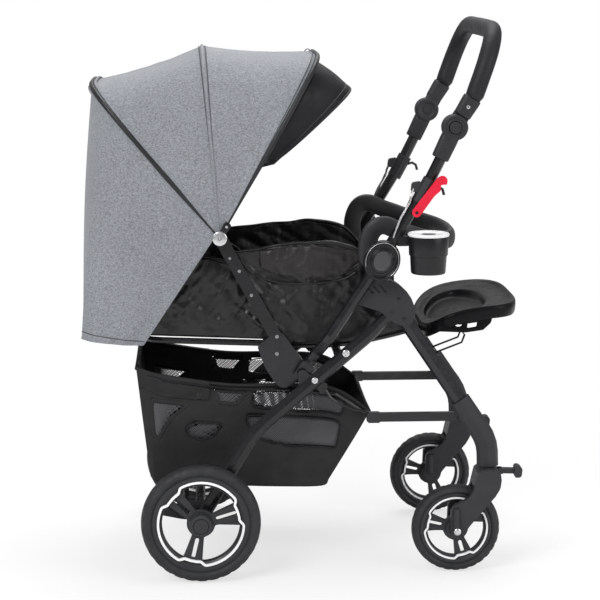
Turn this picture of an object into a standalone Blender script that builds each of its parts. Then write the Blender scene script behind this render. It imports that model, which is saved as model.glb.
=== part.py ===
"""Reversible stroller, modelled piece by piece in metres.

+X points to the swivel wheels, +Z is up, and each side is built by the same
functions with side = -1 (right) or +1 (left). The origin lies on the floor
under the middle of the stroller.
"""
import math

import bmesh
import bpy
from mathutils import Matrix, Vector

# Clearances
GAP = 0.0003              # between pieces that touch
RUN = 0.0004              # radial, between a pin and its bore
SIDE_GAP = 0.002          # between plates that swing past each other

# Wheels
REAR_WHEEL_RADIUS = 0.120
FRONT_WHEEL_RADIUS = 0.090
REAR_TYRE_DEPTH = 0.022
FRONT_TYRE_DEPTH = 0.017
REAR_TYRE_WIDTH = 0.038
FRONT_TYRE_WIDTH = 0.034
REAR_HUB_RADIUS = 0.023
FRONT_HUB_RADIUS = 0.021
RIM_WALL = 0.0035
WEB_THICKNESS = 0.010
SPOKES = 3
AXLE_RADIUS = 0.005
REAR_AXLE_X = -0.209
REAR_HUB_INNER = 0.0225
REAR_HUB_CAP = 0.0285
SWIVEL_X = 0.373
CASTER_TRAIL = 0.064
SWIVEL_TOP_Z = 0.218
LOCK_REACH = 0.0285
LOCK_DROP = 0.010
LOCK_WIDTH = 0.014
LOCK_PIN_RADIUS = 0.002

# Frame points seen from the side, as (x, z)
FOLD_PIVOT = Vector((0.176, 0.537))
FRONT_LEG_TOP = Vector((0.2045, 0.5165))
HANDLE_PIVOT = Vector((-0.003, 0.409))
KNEE_TOP = Vector((0.319, 0.347))
KNEE_BEND = Vector((0.371, 0.272))
LINK_PIVOT = Vector((0.321, 0.317))
STAY_PIVOT = Vector((0.042, 0.379))
CANOPY_PIVOT = Vector((-0.167, 0.686))
RECLINE_PIVOT = Vector((-0.052, 0.462))
HUB_CENTRE = Vector((0.152, 0.645))
HEIGHT_JOINT = Vector((0.295, 0.9065))
TRAY_PIVOT = Vector((0.236, 0.470))
PROP_PIVOT = Vector((0.2832, 0.400))
HOOK_PIVOT = Vector((0.2201, 0.7399))

# Tubes, as height seen from the side and width across
REAR_LEG_HEIGHT = 0.028
REAR_LEG_WIDTH = 0.014
FRONT_LEG_HEIGHT = 0.030
FRONT_LEG_WIDTH = 0.016
HANDLE_TUBE_HEIGHT = 0.023
HANDLE_TUBE_WIDTH = 0.016
HOUSING_WIDTH = 0.029
ARM_HEIGHT = 0.025
ARM_THICKNESS = 0.0125
LINK_HEIGHT = 0.018
LINK_WIDTH = 0.011
STAY_RADIUS = 0.003
BOW_RADIUS = 0.003
EYE_THICKNESS = 0.005
PIN_RADIUS = 0.005

# Sideways places, stacked from the seat outwards by the clearances between the layers
LAYER_GAP = 0.0025
SEAT_OUTER_HALF = 0.178
BACK_OUTER_HALF = SEAT_OUTER_HALF - 4 * LAYER_GAP
SEAT_RAIL_HALF = SEAT_OUTER_HALF - 0.039
BASKET_HALF = SEAT_OUTER_HALF - 0.009
ARM_INNER = SEAT_OUTER_HALF + 0.003
ARM_FACE = ARM_INNER + ARM_THICKNESS
HANDLE_FOOT_HALF = ARM_FACE + LAYER_GAP + HANDLE_TUBE_WIDTH / 2
BRACKET_INNER = ARM_FACE + 0.0035
BRACKET_OUTER = BRACKET_INNER + 0.0315
HANDLE_TUBE_HALF = BRACKET_OUTER + 0.0015 + HANDLE_TUBE_WIDTH / 2
LEG_TOP_HALF = BRACKET_INNER + 0.0155
LEG_FOOT_HALF = LEG_TOP_HALF + 0.0255
FRONT_TRACK_HALF = LEG_TOP_HALF + 0.010
REAR_TRACK_HALF = LEG_FOOT_HALF + 0.0095 + REAR_HUB_INNER
LINK_HALF = FRONT_TRACK_HALF - HOUSING_WIDTH / 2 - 0.001 - LINK_WIDTH / 2

# Canopy
BOW_REACH = 0.4025
MIDDLE_REACH = 0.362
REAR_REACH = 0.384
FRONT_BOW_ANGLE = 60.4
MIDDLE_BOW_ANGLE = 94.8
REAR_BOW_ANGLE = 130.4
CANOPY_HALF = ARM_FACE + 3 * (EYE_THICKNESS + 0.001) + 0.005
CLOTH = 0.0022
DRAPE_BOTTOM_Z = 0.476
HEM_REAR_X = -0.442
HEM_FRONT_X = -0.322
HEM_HALF = CANOPY_HALF - 0.0115
VISOR_REACH = 0.090
VISOR_SPREAD = 0.92

# Seat and basket
SEAT_FLOOR_Z = 0.465
SEAT_RIM_Z = 0.660
SEAT_FRONT_X = 0.236
SEAT_WALL = 0.005
SEAT_RAIL_RADIUS = 0.0065
SEAT_RAIL_Z = SEAT_FLOOR_Z - SEAT_WALL / 2 - SEAT_RAIL_RADIUS - GAP
CROSS_RADIUS = 0.009
BACK_LENGTH = 0.258
BACK_RISE = 0.010
BACK_SWELL = 0.002
BACK_TAPER = 0.005
BACK_FRAME_RADIUS = 0.0065
BACK_EYE_RADIUS = 0.009
BACK_WALLS = ((0.0, 0.060), (0.2, 0.130), (0.45, 0.160), (0.75, 0.160), (1.0, 0.150))
BASKET_RIM_Z = 0.388
BASKET_FLOOR_Z = 0.164
BASKET_REAR_X = -0.336
BASKET_FRONT_X = 0.136
BASKET_WALL = 0.003
TUB_SWELL = 0.004
RAIL_RADIUS = 0.0032
RAIL_DROP = 0.008

# Foot rest, bumper and handle
TRAY_REAR = Vector((0.250, 0.481))
TRAY_FRONT_X = 0.4480
TRAY_RISE = 0.061
TRAY_RUN = 0.048
TRAY_DEPTH = 0.028
TRAY_ROD_RADIUS = 0.006
TRAY_HALF = LEG_TOP_HALF - 0.0425
TRAY_WALL = 0.004
TRAY_POINTS = 24
BUMPER_HEIGHT = 0.037
BUMPER_THICKNESS = 0.019
BUMPER_END_RADIUS = 0.0085
BUMPER_FRONT = Vector((0.316, 0.664))
HANDLE_TOP_X = 0.378
HANDLE_TOP_Z = 1.094
HANDLE_CORNER = 0.100
HANDLE_BAR_RADIUS = 0.0095
GRIP_RADIUS = 0.0185
JOINT_RADIUS = 0.0255
BUTTON_RADIUS = 0.012
BUTTON_TRAVEL = 0.004
CUP_RADIUS = 0.040
CUP_HEIGHT = 0.076
CUP_CENTRE = Vector((0.2435, 0.620))
CUP_HALF = HANDLE_TUBE_HALF + CUP_RADIUS / 2
SLIDER_CENTRE = Vector((0.2385, 0.785))
HOOK_LENGTH = 0.090
HOOK_THICKNESS = 0.005
HOOK_INNER = HANDLE_TUBE_HALF + HANDLE_TUBE_WIDTH / 2 + 0.0045
HOOK_PIN_RADIUS = 0.003

SIDES = ((-1, "R"), (1, "L"))
ROUND_STEPS = 10
WHEEL_STEPS = 20

BLACK = (0.018, 0.018, 0.020)
FINISHES = {
    "frame_black": (BLACK, 0.38, 0.0),
    "plastic_dark": ((0.040, 0.041, 0.045), 0.55, 0.0),
    "plastic_gloss": ((0.010, 0.010, 0.011), 0.15, 0.0),
    "rim_black": ((0.020, 0.020, 0.022), 0.35, 0.0),
    "tyre": ((0.035, 0.036, 0.039), 0.85, 0.0),
    "steel": ((0.62, 0.62, 0.64), 0.28, 1.0),
    "red_plastic": ((0.80, 0.02, 0.05), 0.35, 0.0),
    "canopy_cloth": ((0.235, 0.245, 0.265), 0.95, 0.0),
    "visor_leather": ((0.022, 0.022, 0.024), 0.60, 0.0),
    "seat_cloth": ((0.014, 0.014, 0.015), 0.80, 0.0),
    "basket_cloth": ((0.016, 0.016, 0.018), 0.85, 0.0),
    "grip_foam": ((0.030, 0.030, 0.033), 0.75, 0.0),
}


def clear_scene():
    for old in list(bpy.data.objects):
        bpy.data.objects.remove(old, do_unlink=True)


def new_collection(name):
    group = bpy.data.collections.new(name)
    bpy.context.scene.collection.children.link(group)
    return group


def make_material(name):
    colour, roughness, metallic = FINISHES[name]
    material = bpy.data.materials.new(name)
    material.use_nodes = True
    shader = material.node_tree.nodes["Principled BSDF"]
    shader.inputs["Base Color"].default_value = (*colour, 1.0)
    shader.inputs["Roughness"].default_value = roughness
    shader.inputs["Metallic"].default_value = metallic
    return material


clear_scene()
PARTS = new_collection("stroller")
CUTTERS = new_collection("cutters")
MATERIALS = {name: make_material(name) for name in FINISHES}


# Small geometry helpers

def unit(direction):
    return Vector(direction).normalized()


def polar(centre, radius, degrees):
    angle = math.radians(degrees)
    return Vector((centre[0] + radius * math.cos(angle), centre[1] + radius * math.sin(angle)))


def ease(value):
    value = min(1.0, max(0.0, value))
    return value * value * (3 - 2 * value)


def blend(start, end, share):
    return start + (end - start) * share


def arc(centre, radius, start, end, count):
    return [polar(centre, radius, blend(start, end, i / count)) for i in range(count + 1)]


def rounded(outline, radius, count=3):
    """Round every corner of a closed outline of (x, z) points."""
    result = []
    for i, corner in enumerate(outline):
        before, after = Vector(outline[i - 1]), Vector(outline[(i + 1) % len(outline)])
        corner = Vector(corner)
        back, ahead = before - corner, after - corner
        reach = min(radius, back.length * 0.45, ahead.length * 0.45)
        start = corner + back.normalized() * reach
        end = corner + ahead.normalized() * reach
        for step in range(count + 1):
            share = step / count
            result.append(start.lerp(corner, share).lerp(corner.lerp(end, share), share))
    return result


def smooth_path(points, count):
    """Points on a Catmull-Rom curve through a list of 3D points."""
    points = [Vector(p) for p in points]
    padded = [2 * points[0] - points[1], *points, 2 * points[-1] - points[-2]]
    result = []
    for i in range(len(points) - 1):
        a, b, c, d = padded[i:i + 4]
        for step in range(count):
            t = step / count
            result.append(0.5 * (2 * b + (c - a) * t + (2 * a - 5 * b + 4 * c - d) * t ** 2
                                 + (3 * b - a - 3 * c + d) * t ** 3))
    result.append(points[-1])
    return result


# Object builders

def as_mesh(curve_object):
    """Swap a curve object for the mesh that it shows, with its caps welded."""
    bpy.context.view_layer.update()
    evaluated = curve_object.evaluated_get(bpy.context.evaluated_depsgraph_get())
    mesh = bpy.data.meshes.new_from_object(evaluated)
    matrix = curve_object.matrix_world.copy()
    name = curve_object.name
    bpy.data.objects.remove(curve_object, do_unlink=True)
    bm = bmesh.new()
    bm.from_mesh(mesh)
    bmesh.ops.remove_doubles(bm, verts=bm.verts, dist=0.00001)
    bmesh.ops.transform(bm, matrix=matrix, verts=bm.verts)
    bmesh.ops.recalc_face_normals(bm, faces=bm.faces)
    bm.to_mesh(mesh)
    bm.free()
    piece = bpy.data.objects.new(name, mesh)
    PARTS.objects.link(piece)
    return piece


def finish_piece(piece, name, finish):
    piece.name = name
    piece.data.name = name
    piece.data.materials.clear()
    piece.data.materials.append(MATERIALS[finish])
    piece.data.shade_smooth()
    piece.data.set_sharp_from_angle(angle=math.radians(32))
    return piece


def plate(outlines, centre_y, thickness):
    """A flat plate in the side view. The first outline is its rim, the rest are holes."""
    curve = bpy.data.curves.new("plate", "CURVE")
    curve.dimensions = "2D"
    curve.fill_mode = "BOTH"
    curve.extrude = thickness / 2
    for outline in outlines:
        spline = curve.splines.new("POLY")
        spline.points.add(len(outline) - 1)
        for point, (x, z) in zip(spline.points, outline):
            point.co = (x, z, 0, 1)
        spline.use_cyclic_u = True
    piece = bpy.data.objects.new("plate", curve)
    PARTS.objects.link(piece)
    piece.matrix_world = Matrix.Translation((0, centre_y, 0)) @ Matrix.Rotation(math.pi / 2, 4, "X")
    return as_mesh(piece)


def tube(points, radius, resolution=2):
    """A tube with filled caps along 3D points."""
    curve = bpy.data.curves.new("tube", "CURVE")
    curve.dimensions = "3D"
    curve.bevel_depth = radius
    curve.bevel_resolution = resolution
    curve.use_fill_caps = True
    spline = curve.splines.new("POLY")
    spline.points.add(len(points) - 1)
    for point, place in zip(spline.points, points):
        point.co = (*place, 1)
    piece = bpy.data.objects.new("tube", curve)
    PARTS.objects.link(piece)
    return as_mesh(piece)


def flat_tube(side_points, height, width, sideways, resolution=2):
    """An oval tube drawn in the side view and then moved to its sideways place."""
    piece = tube([(p[0], 0, p[1]) for p in side_points], height / 2, resolution)
    for vertex in piece.data.vertices:
        lateral = sideways(vertex.co.x, vertex.co.z)
        vertex.co.y = vertex.co.y * width / height + lateral
    return piece


def cylinder(centre, axis, radius, length, steps=ROUND_STEPS, end_radius=None):
    """A cylinder or cone whose axis runs through its centre point."""
    bm = bmesh.new()
    top = radius if end_radius is None else end_radius
    bmesh.ops.create_cone(bm, cap_ends=True, segments=steps, radius1=radius, radius2=top, depth=length)
    turn = Vector((0, 0, 1)).rotation_difference(Vector(axis)).to_matrix().to_4x4()
    bmesh.ops.transform(bm, matrix=Matrix.Translation(centre) @ turn, verts=bm.verts)
    mesh = bpy.data.meshes.new("cylinder")
    bm.to_mesh(mesh)
    bm.free()
    piece = bpy.data.objects.new("cylinder", mesh)
    PARTS.objects.link(piece)
    return piece


def cross_pin(point, inner, outer, side, radius, steps=ROUND_STEPS):
    """A cylinder across the stroller from inner to outer distance on one side."""
    middle = side * (inner + outer) / 2
    return cylinder((point[0], middle, point[1]), (0, 1, 0), radius, outer - inner, steps)


def block(centre, size, turn_y=0.0):
    """A box; turn_y turns it clockwise in the side view, in degrees."""
    bm = bmesh.new()
    bmesh.ops.create_cube(bm, size=1.0)
    bmesh.ops.scale(bm, vec=size, verts=bm.verts)
    matrix = Matrix.Translation(centre) @ Matrix.Rotation(math.radians(turn_y), 4, "Y")
    bmesh.ops.transform(bm, matrix=matrix, verts=bm.verts)
    mesh = bpy.data.meshes.new("block")
    bm.to_mesh(mesh)
    bm.free()
    piece = bpy.data.objects.new("block", mesh)
    PARTS.objects.link(piece)
    return piece


def ring(profile, centre, steps=WHEEL_STEPS):
    """Turn a closed profile of (radius, sideways) points about a cross axis."""
    mesh = bpy.data.meshes.new("ring")
    count = len(profile)
    mesh.from_pydata([(r, 0, s) for r, s in profile], [(i, (i + 1) % count) for i in range(count)], [])
    piece = bpy.data.objects.new("ring", mesh)
    PARTS.objects.link(piece)
    screw = piece.modifiers.new("turn", "SCREW")
    screw.steps = screw.render_steps = steps
    screw.use_merge_vertices = True
    screw.merge_threshold = 0.00001
    piece.matrix_world = Matrix.Translation(centre) @ Matrix.Rotation(math.pi / 2, 4, "X")
    return bake(piece)


def turned_upright(profile, centre, steps=ROUND_STEPS):
    """Turn an open profile of (radius, height) points, both ends on the axis."""
    mesh = bpy.data.meshes.new("turned")
    count = len(profile)
    mesh.from_pydata([(r, 0, h) for r, h in profile], [(i, i + 1) for i in range(count - 1)], [])
    piece = bpy.data.objects.new("turned", mesh)
    PARTS.objects.link(piece)
    screw = piece.modifiers.new("turn", "SCREW")
    screw.steps = screw.render_steps = steps
    screw.use_merge_vertices = True
    screw.merge_threshold = 0.00001
    piece.matrix_world = Matrix.Translation(centre)
    return bake(piece)


def bake(piece):
    """Replace an object by the mesh that its modifiers show, in world space."""
    bpy.context.view_layer.update()
    evaluated = piece.evaluated_get(bpy.context.evaluated_depsgraph_get())
    mesh = bpy.data.meshes.new_from_object(evaluated)
    mesh.transform(piece.matrix_world)
    bm = bmesh.new()
    bm.from_mesh(mesh)
    bmesh.ops.recalc_face_normals(bm, faces=bm.faces)
    bm.to_mesh(mesh)
    bm.free()
    bpy.data.objects.remove(piece, do_unlink=True)
    baked = bpy.data.objects.new("baked", mesh)
    PARTS.objects.link(baked)
    return baked


def combine(piece, tools, operation):
    """Add a live Boolean for each tool, which moves to the cutters."""
    for tool in tools:
        PARTS.objects.unlink(tool)
        CUTTERS.objects.link(tool)
        tool.hide_render = True
        tool.display_type = "WIRE"
        change = piece.modifiers.new(operation.lower(), "BOOLEAN")
        change.operation = operation
        change.solver = "EXACT"
        change.object = tool
    return piece


def join(piece, *tools):
    return combine(piece, tools, "UNION")


def cut(piece, *tools):
    return combine(piece, tools, "DIFFERENCE")


def soften(piece, width, segments=1, angle=40):
    """Round the sharp edges of a piece before anything is joined to it."""
    edge = piece.modifiers.new("soften", "BEVEL")
    edge.width = width
    edge.segments = segments
    edge.limit_method = "ANGLE"
    edge.angle_limit = math.radians(angle)
    return bake(piece)


def skin(rows, thickness, name, closed_rows=False):
    """A sheet through a grid of points, made solid by a Solidify modifier."""
    width = len(rows[0])
    faces = []
    for i in range(len(rows) - 1):
        for j in range(width if closed_rows else width - 1):
            k = (j + 1) % width
            faces.append((i * width + j, i * width + k, (i + 1) * width + k, (i + 1) * width + j))
    mesh = bpy.data.meshes.new(name)
    mesh.from_pydata([p for row in rows for p in row], [], faces)
    piece = bpy.data.objects.new(name, mesh)
    PARTS.objects.link(piece)
    solid = piece.modifiers.new("thickness", "SOLIDIFY")
    solid.thickness = thickness
    solid.offset = 0.0
    solid.use_even_offset = True
    return piece


# Bodies: an empty on each joint axis carries the pieces that move together

def make_body(name, pivot, parent=None):
    empty = bpy.data.objects.new("axis_" + name, None)
    empty.empty_display_size = 0.03
    PARTS.objects.link(empty)
    empty.location = Vector(pivot) - (Vector(parent["pivot"]) if parent else Vector())
    empty["pivot"] = tuple(pivot)
    empty.parent = parent
    return empty


def put_on(body, *pieces):
    """Move each piece's origin to its body's axis and parent it there."""
    for piece in pieces:
        pivot = Vector(body["pivot"])
        piece.data.transform(Matrix.Translation(-pivot))
        piece.parent = body


def leg_half(x):
    """Sideways place of the rear leg's centre line: it spreads towards the wheel."""
    share = (FOLD_PIVOT[0] - x) / (FOLD_PIVOT[0] - REAR_AXLE_X)
    return blend(LEG_TOP_HALF, LEG_FOOT_HALF, min(1.0, max(0.0, share)))


# Wheels

def tyre_profile(radius, depth, width):
    """A tyre section with a rounded tread, and a flat seat on the rim."""
    half = width / 2
    inner = radius - depth
    tread = math.radians(28)
    crown = [(inner + depth * (0.42 + 0.58 * math.cos(a) / math.cos(tread)), half * math.sin(a))
             for a in (math.radians(-75), -tread, tread, math.radians(75))]
    return [(inner, -half * 0.62), *crown, (inner, half * 0.62)]


def spoke_windows(centre, inner, outer, hub_width, rim_width, phase):
    """Outlines of the three openings between the spokes."""
    windows = []
    for i in range(SPOKES):
        left = phase + i * 360 / SPOKES
        right = left + 360 / SPOKES
        near = math.degrees(math.asin(hub_width / 2 / inner))
        far = math.degrees(math.asin(rim_width / 2 / outer))
        windows.append([*arc(centre, outer, left + far, right - far, 4),
                        *arc(centre, inner, right - near, left + near, 1)])
    return windows


def spoke_slots(centre, start, end, width, phase):
    """A long slot along the middle of each spoke."""
    slots = []
    for i in range(SPOKES):
        along = Vector((math.cos(math.radians(phase + i * 360 / SPOKES)),
                        math.sin(math.radians(phase + i * 360 / SPOKES))))
        across = Vector((-along[1], along[0])) * width / 2
        a, b = centre + along * start, centre + along * end
        slots.append([a - across, b - across, b + across, a + across])
    return slots


def wheel(body, name, suffix, centre, half, side, radius, depth, width, hub_radius, phase, hub, bore_end):
    """A tyre, and a moulded rim of ring, web with three slotted spokes, and hub."""
    centre_3d = (centre[0], side * half, centre[1])
    tyre = ring(tyre_profile(radius, depth, width), centre_3d)
    finish_piece(tyre, f"{name}_tyre_{suffix}", "tyre")

    rim_radius = radius - depth - GAP
    rim_half = width * 0.30
    inner = rim_radius - RIM_WALL
    barrel = ring([(inner, -rim_half), (rim_radius, -rim_half), (rim_radius, rim_half), (inner, rim_half)],
                  centre_3d)
    web_edge = arc(centre, inner + RIM_WALL / 2, 0, 360 - 360 / WHEEL_STEPS, WHEEL_STEPS - 1)
    opening = rim_radius * 0.80
    windows = spoke_windows(centre, hub_radius * 1.25, opening, hub_radius * 1.05, hub_radius * 1.7,
                            phase)
    slots = spoke_slots(centre, hub_radius * 1.45, opening * 0.93, hub_radius * 0.34, phase)
    web = plate([web_edge, *windows, *slots], side * half, WEB_THICKNESS)
    boss = cross_pin(centre, half - hub[0], half + hub[1], side, hub_radius, 14)
    bore = cross_pin(centre, half - hub[0] - 0.01, half + bore_end, side, AXLE_RADIUS + RUN, 8)
    join(barrel, web, boss)
    cut(barrel, bore)
    finish_piece(barrel, f"{name}_rim_{suffix}", "rim_black")
    put_on(body, tyre, barrel)


# Rear frame, the body that stands on the floor

REAR_LEG_STRAIGHT_END = Vector((-0.098, 0.298))
REAR_LEG_BEND = Vector((0.136, 0.4935))


def rear_leg(body, side, suffix):
    """Flat-oval leg with the handle's pivot lug, its pins and its axle carrier."""
    axle = Vector((REAR_AXLE_X, REAR_WHEEL_RADIUS))
    top = FOLD_PIVOT + unit(FOLD_PIVOT - REAR_LEG_BEND) * 0.010
    path = [top, REAR_LEG_BEND, REAR_LEG_STRAIGHT_END, axle + Vector((0.004, 0.006))]
    path = [path[0], *rounded_bend(path[0], path[1], path[2], 0.02),
            *rounded_bend(path[1], path[2], path[3], 0.03), path[3]]
    leg = flat_tube(path, REAR_LEG_HEIGHT, REAR_LEG_WIDTH, lambda x, z: side * leg_half(x))
    narrow_top(leg, REAR_LEG_BEND, FOLD_PIVOT, 0.70)
    lug_half = leg_half(HANDLE_PIVOT[0])
    foot = nearest_on_line(HANDLE_PIVOT, REAR_LEG_STRAIGHT_END, REAR_LEG_BEND)
    along = unit(REAR_LEG_BEND - REAR_LEG_STRAIGHT_END)
    lug_outline = [foot - along * 0.028, foot + along * 0.026,
                   *arc(HANDLE_PIVOT, 0.012, 10, 150, 4)]
    lug_inner = HANDLE_FOOT_HALF + HANDLE_TUBE_WIDTH / 2 + 0.0015
    lug = plate([rounded(lug_outline, 0.004, 1)], side * (lug_inner + lug_half) / 2,
                lug_half - lug_inner)
    pin = cross_pin(HANDLE_PIVOT, ARM_INNER - 0.002, lug_half - 0.002, side, PIN_RADIUS)
    stay_pin = cross_pin(STAY_PIVOT, LINK_HALF - LINK_WIDTH / 2 - 2 * STAY_RADIUS - 0.004,
                         leg_half(STAY_PIVOT[0]), side, 0.003, 8)
    stay_foot = nearest_on_line(STAY_PIVOT, REAR_LEG_STRAIGHT_END, REAR_LEG_BEND)
    stay_lug = plate([rounded([stay_foot - along * 0.012, STAY_PIVOT - along * 0.007 - Vector((0, 0.006)),
                               STAY_PIVOT + along * 0.007 - Vector((0, 0.006)),
                               stay_foot + along * 0.012], 0.003, 1)],
                     side * (leg_half(STAY_PIVOT[0]) - 0.003), 0.003)
    carrier = cross_pin(axle, leg_half(REAR_AXLE_X) - 0.010, leg_half(REAR_AXLE_X) + 0.008, side, 0.017, 10)
    spindle = cross_pin(axle, leg_half(REAR_AXLE_X), REAR_TRACK_HALF + REAR_HUB_CAP - 0.006, side,
                        AXLE_RADIUS, 8)
    join(leg, lug, pin, stay_lug, stay_pin, carrier, spindle)
    cut(leg, cross_pin(FOLD_PIVOT, BRACKET_INNER, BRACKET_OUTER, side, PIN_RADIUS + RUN))
    finish_piece(leg, f"rear_leg_{suffix}", "frame_black")
    put_on(body, leg)


def narrow_top(piece, start, end, share):
    """Draw a leg in towards its centre line between two side-view points."""
    along = unit(end - start)
    length = (end - start).length
    across = Vector((-along[1], along[0]))
    for vertex in piece.data.vertices:
        offset = Vector((vertex.co.x, vertex.co.z)) - start
        travel = offset.dot(along)
        if travel > 0:
            drawn = offset.dot(across) * (blend(1.0, share, ease(travel / length)) - 1)
            vertex.co.x += across[0] * drawn
            vertex.co.z += across[1] * drawn


def rounded_bend(before, corner, after, radius, count=3):
    back, ahead = before - corner, after - corner
    start = corner + back.normalized() * min(radius, back.length * 0.45)
    end = corner + ahead.normalized() * min(radius, ahead.length * 0.45)
    return [start.lerp(corner, i / count).lerp(corner.lerp(end, i / count), i / count)
            for i in range(count + 1)]


def nearest_on_line(point, start, end):
    along = unit(end - start)
    return start + along * (point - start).dot(along)


def rear_cross_pieces(body):
    axle_half = leg_half(REAR_AXLE_X) - 0.010 - GAP
    axle = cylinder((REAR_AXLE_X, 0, REAR_WHEEL_RADIUS), (0, 1, 0), 0.011, axle_half * 2)
    finish_piece(axle, "rear_axle_tube", "frame_black")
    rail_flat = SEAT_RAIL_RADIUS * math.cos(math.pi / 8)
    height = SEAT_RAIL_Z - rail_flat - CROSS_RADIUS * math.cos(math.pi / 14) - GAP
    slope = (REAR_LEG_BEND - REAR_LEG_STRAIGHT_END)
    across = REAR_LEG_STRAIGHT_END[0] + (height - REAR_LEG_STRAIGHT_END[1]) * slope[0] / slope[1]
    reach = leg_half(across + CROSS_RADIUS) - REAR_LEG_WIDTH / 2 - GAP
    cross = cylinder((across, 0, height), (0, 1, 0), CROSS_RADIUS, reach * 2, 14)
    finish_piece(cross, "centre_cross_tube", "frame_black")
    put_on(body, axle, cross)


def brake_pedal(body):
    """A bar with a foot pad at each wheel, turning on the rear axle tube."""
    centre = Vector((REAR_AXLE_X, REAR_WHEEL_RADIUS))
    clip_half = leg_half(REAR_AXLE_X) - 0.038
    bar = cylinder((centre[0] - 0.030, 0, centre[1] + 0.004), (0, 1, 0), 0.006, clip_half * 2, 12)
    for side, _ in SIDES:
        outline = [*arc(centre, 0.0165, -110, 110, 6), centre + Vector((-0.040, 0.014)),
                   centre + Vector((-0.080, 0.004)), centre + Vector((-0.078, -0.004)),
                   centre + Vector((-0.040, -0.012))]
        hole = arc(centre, 0.011 + 4 * GAP, 0, 330, 11)
        pedal = plate([outline, hole], side * (clip_half - 0.020), 0.034)
        join(bar, pedal)
    finish_piece(bar, "brake_pedal_bar", "plastic_dark")
    put_on(body, bar)


# Basket

def tub_rows(stations, points=5, swelling=TUB_SWELL):
    """Cross sections of a soft tub: each station is (x, floor z, rim z, half width, floor half)."""
    rows = []
    for x_rim, x_floor, floor, rim, half, floor_half in stations:
        row = []
        for side in (-1, 1):
            wall = []
            for i in range(points):
                share = i / (points - 1)
                swell = math.sin(math.pi * share) * swelling
                wall.append((blend(x_rim, x_floor, share),
                             side * (blend(half, floor_half, share ** 2) + swell),
                             blend(rim, floor, share)))
            row += wall if side < 0 else list(reversed(wall))
        rows.append(row)
    return rows


def basket_stations():
    """Cross sections of the basket, from the high rear to the low front."""
    half = BASKET_HALF
    middle = (BASKET_REAR_X + BASKET_FRONT_X) / 2
    floor_x0, floor_x1 = BASKET_REAR_X + 0.030, BASKET_FRONT_X - 0.086
    return [
        (BASKET_REAR_X, floor_x0 - 0.004, BASKET_FLOOR_Z + 0.022, BASKET_RIM_Z + 0.028, half, half - 0.019),
        (BASKET_REAR_X + 0.05, floor_x0 + 0.02, BASKET_FLOOR_Z + 0.010, BASKET_RIM_Z + 0.012, half,
         half - 0.013),
        (middle - 0.05, middle - 0.05, BASKET_FLOOR_Z + 0.004, BASKET_RIM_Z - 0.008, half, half - 0.011),
        (middle + 0.08, middle + 0.06, BASKET_FLOOR_Z, BASKET_RIM_Z - 0.010, half, half - 0.011),
        (BASKET_FRONT_X - 0.07, floor_x1 - 0.01, BASKET_FLOOR_Z, BASKET_RIM_Z - 0.020, half, half - 0.013),
        (BASKET_FRONT_X, floor_x1 + 0.004, BASKET_FLOOR_Z + 0.012, BASKET_RIM_Z - 0.066, half, half - 0.019)]


def basket(body):
    """An open cloth tub, higher at the rear, hung between the side rails."""
    rows = tub_rows(basket_stations())
    cloth = skin(rows, BASKET_WALL, "basket")
    bm = bmesh.new()
    bm.from_mesh(cloth.data)
    width = len(rows[0])
    bm.verts.ensure_lookup_table()
    for start in (0, (len(rows) - 1) * width):
        loop = [bm.verts[start + i] for i in range(width)]
        for i in range(width // 2 - 1):
            bm.faces.new((loop[i], loop[i + 1], loop[width - 2 - i], loop[width - 1 - i]))
    bmesh.ops.recalc_face_normals(bm, faces=bm.faces)
    bm.to_mesh(cloth.data)
    bm.free()
    finish_piece(cloth, "basket", "basket_cloth")
    put_on(body, cloth)


def basket_rail(body, side, suffix):
    """The wire that carries the basket's rim, hooked to the rear leg."""
    y = side * (BASKET_HALF + BASKET_WALL / 2 + RAIL_RADIUS + RAIL_DROP * 0.07 + GAP)
    rim = [(station[0], y, station[3] - RAIL_DROP) for station in basket_stations()]
    rail = tube([Vector(rim[0]).lerp(Vector(rim[1]), 0.4), *rim[1:-1],
                 Vector(rim[-1]).lerp(Vector(rim[-2]), 0.15)], RAIL_RADIUS, 1)
    hook_x = -0.024
    height = blend(rim[3][2], rim[4][2], (hook_x - rim[3][0]) / (rim[4][0] - rim[3][0]))
    slope = REAR_LEG_BEND - REAR_LEG_STRAIGHT_END
    leg_z = REAR_LEG_STRAIGHT_END[1] + (hook_x - 0.002 - REAR_LEG_STRAIGHT_END[0]) * slope[1] / slope[0]
    hook = tube([(hook_x, y, height), (hook_x - 0.002, side * (leg_half(hook_x) - REAR_LEG_WIDTH / 2 - 3 * GAP),
                                       leg_z)], 0.003, 1)
    join(rail, hook)
    finish_piece(rail, f"basket_rail_{suffix}", "frame_black")
    put_on(body, rail)


# Seat

def seat_rail(body, side, suffix):
    """The side rail under the seat tub, fixed to the cross tube of the frame."""
    y = side * SEAT_RAIL_HALF
    under = SEAT_RAIL_Z
    path = smooth_path([(-0.040, y, under), (0.060, y, under), (0.140, y, under + 0.010),
                        (SEAT_FRONT_X - 0.012, y, under + 0.030)], 2)
    rail = tube(path, SEAT_RAIL_RADIUS, 2)
    finish_piece(rail, f"seat_rail_{suffix}", "frame_black")
    put_on(body, rail)


def tub_shell(stations, wall, name, close_front, close_rear, swelling=TUB_SWELL):
    rows = tub_rows(stations, 6, swelling)
    width = len(rows[0])
    cloth = skin(rows, wall, name)
    bm = bmesh.new()
    bm.from_mesh(cloth.data)
    bm.verts.ensure_lookup_table()
    ends = []
    if close_rear:
        ends.append(0)
    if close_front:
        ends.append((len(rows) - 1) * width)
    for start in ends:
        loop = [bm.verts[start + i] for i in range(width)]
        for i in range(width // 2 - 1):
            bm.faces.new((loop[i], loop[i + 1], loop[width - 2 - i], loop[width - 1 - i]))
    bmesh.ops.recalc_face_normals(bm, faces=bm.faces)
    bm.to_mesh(cloth.data)
    bm.free()
    return cloth


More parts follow.
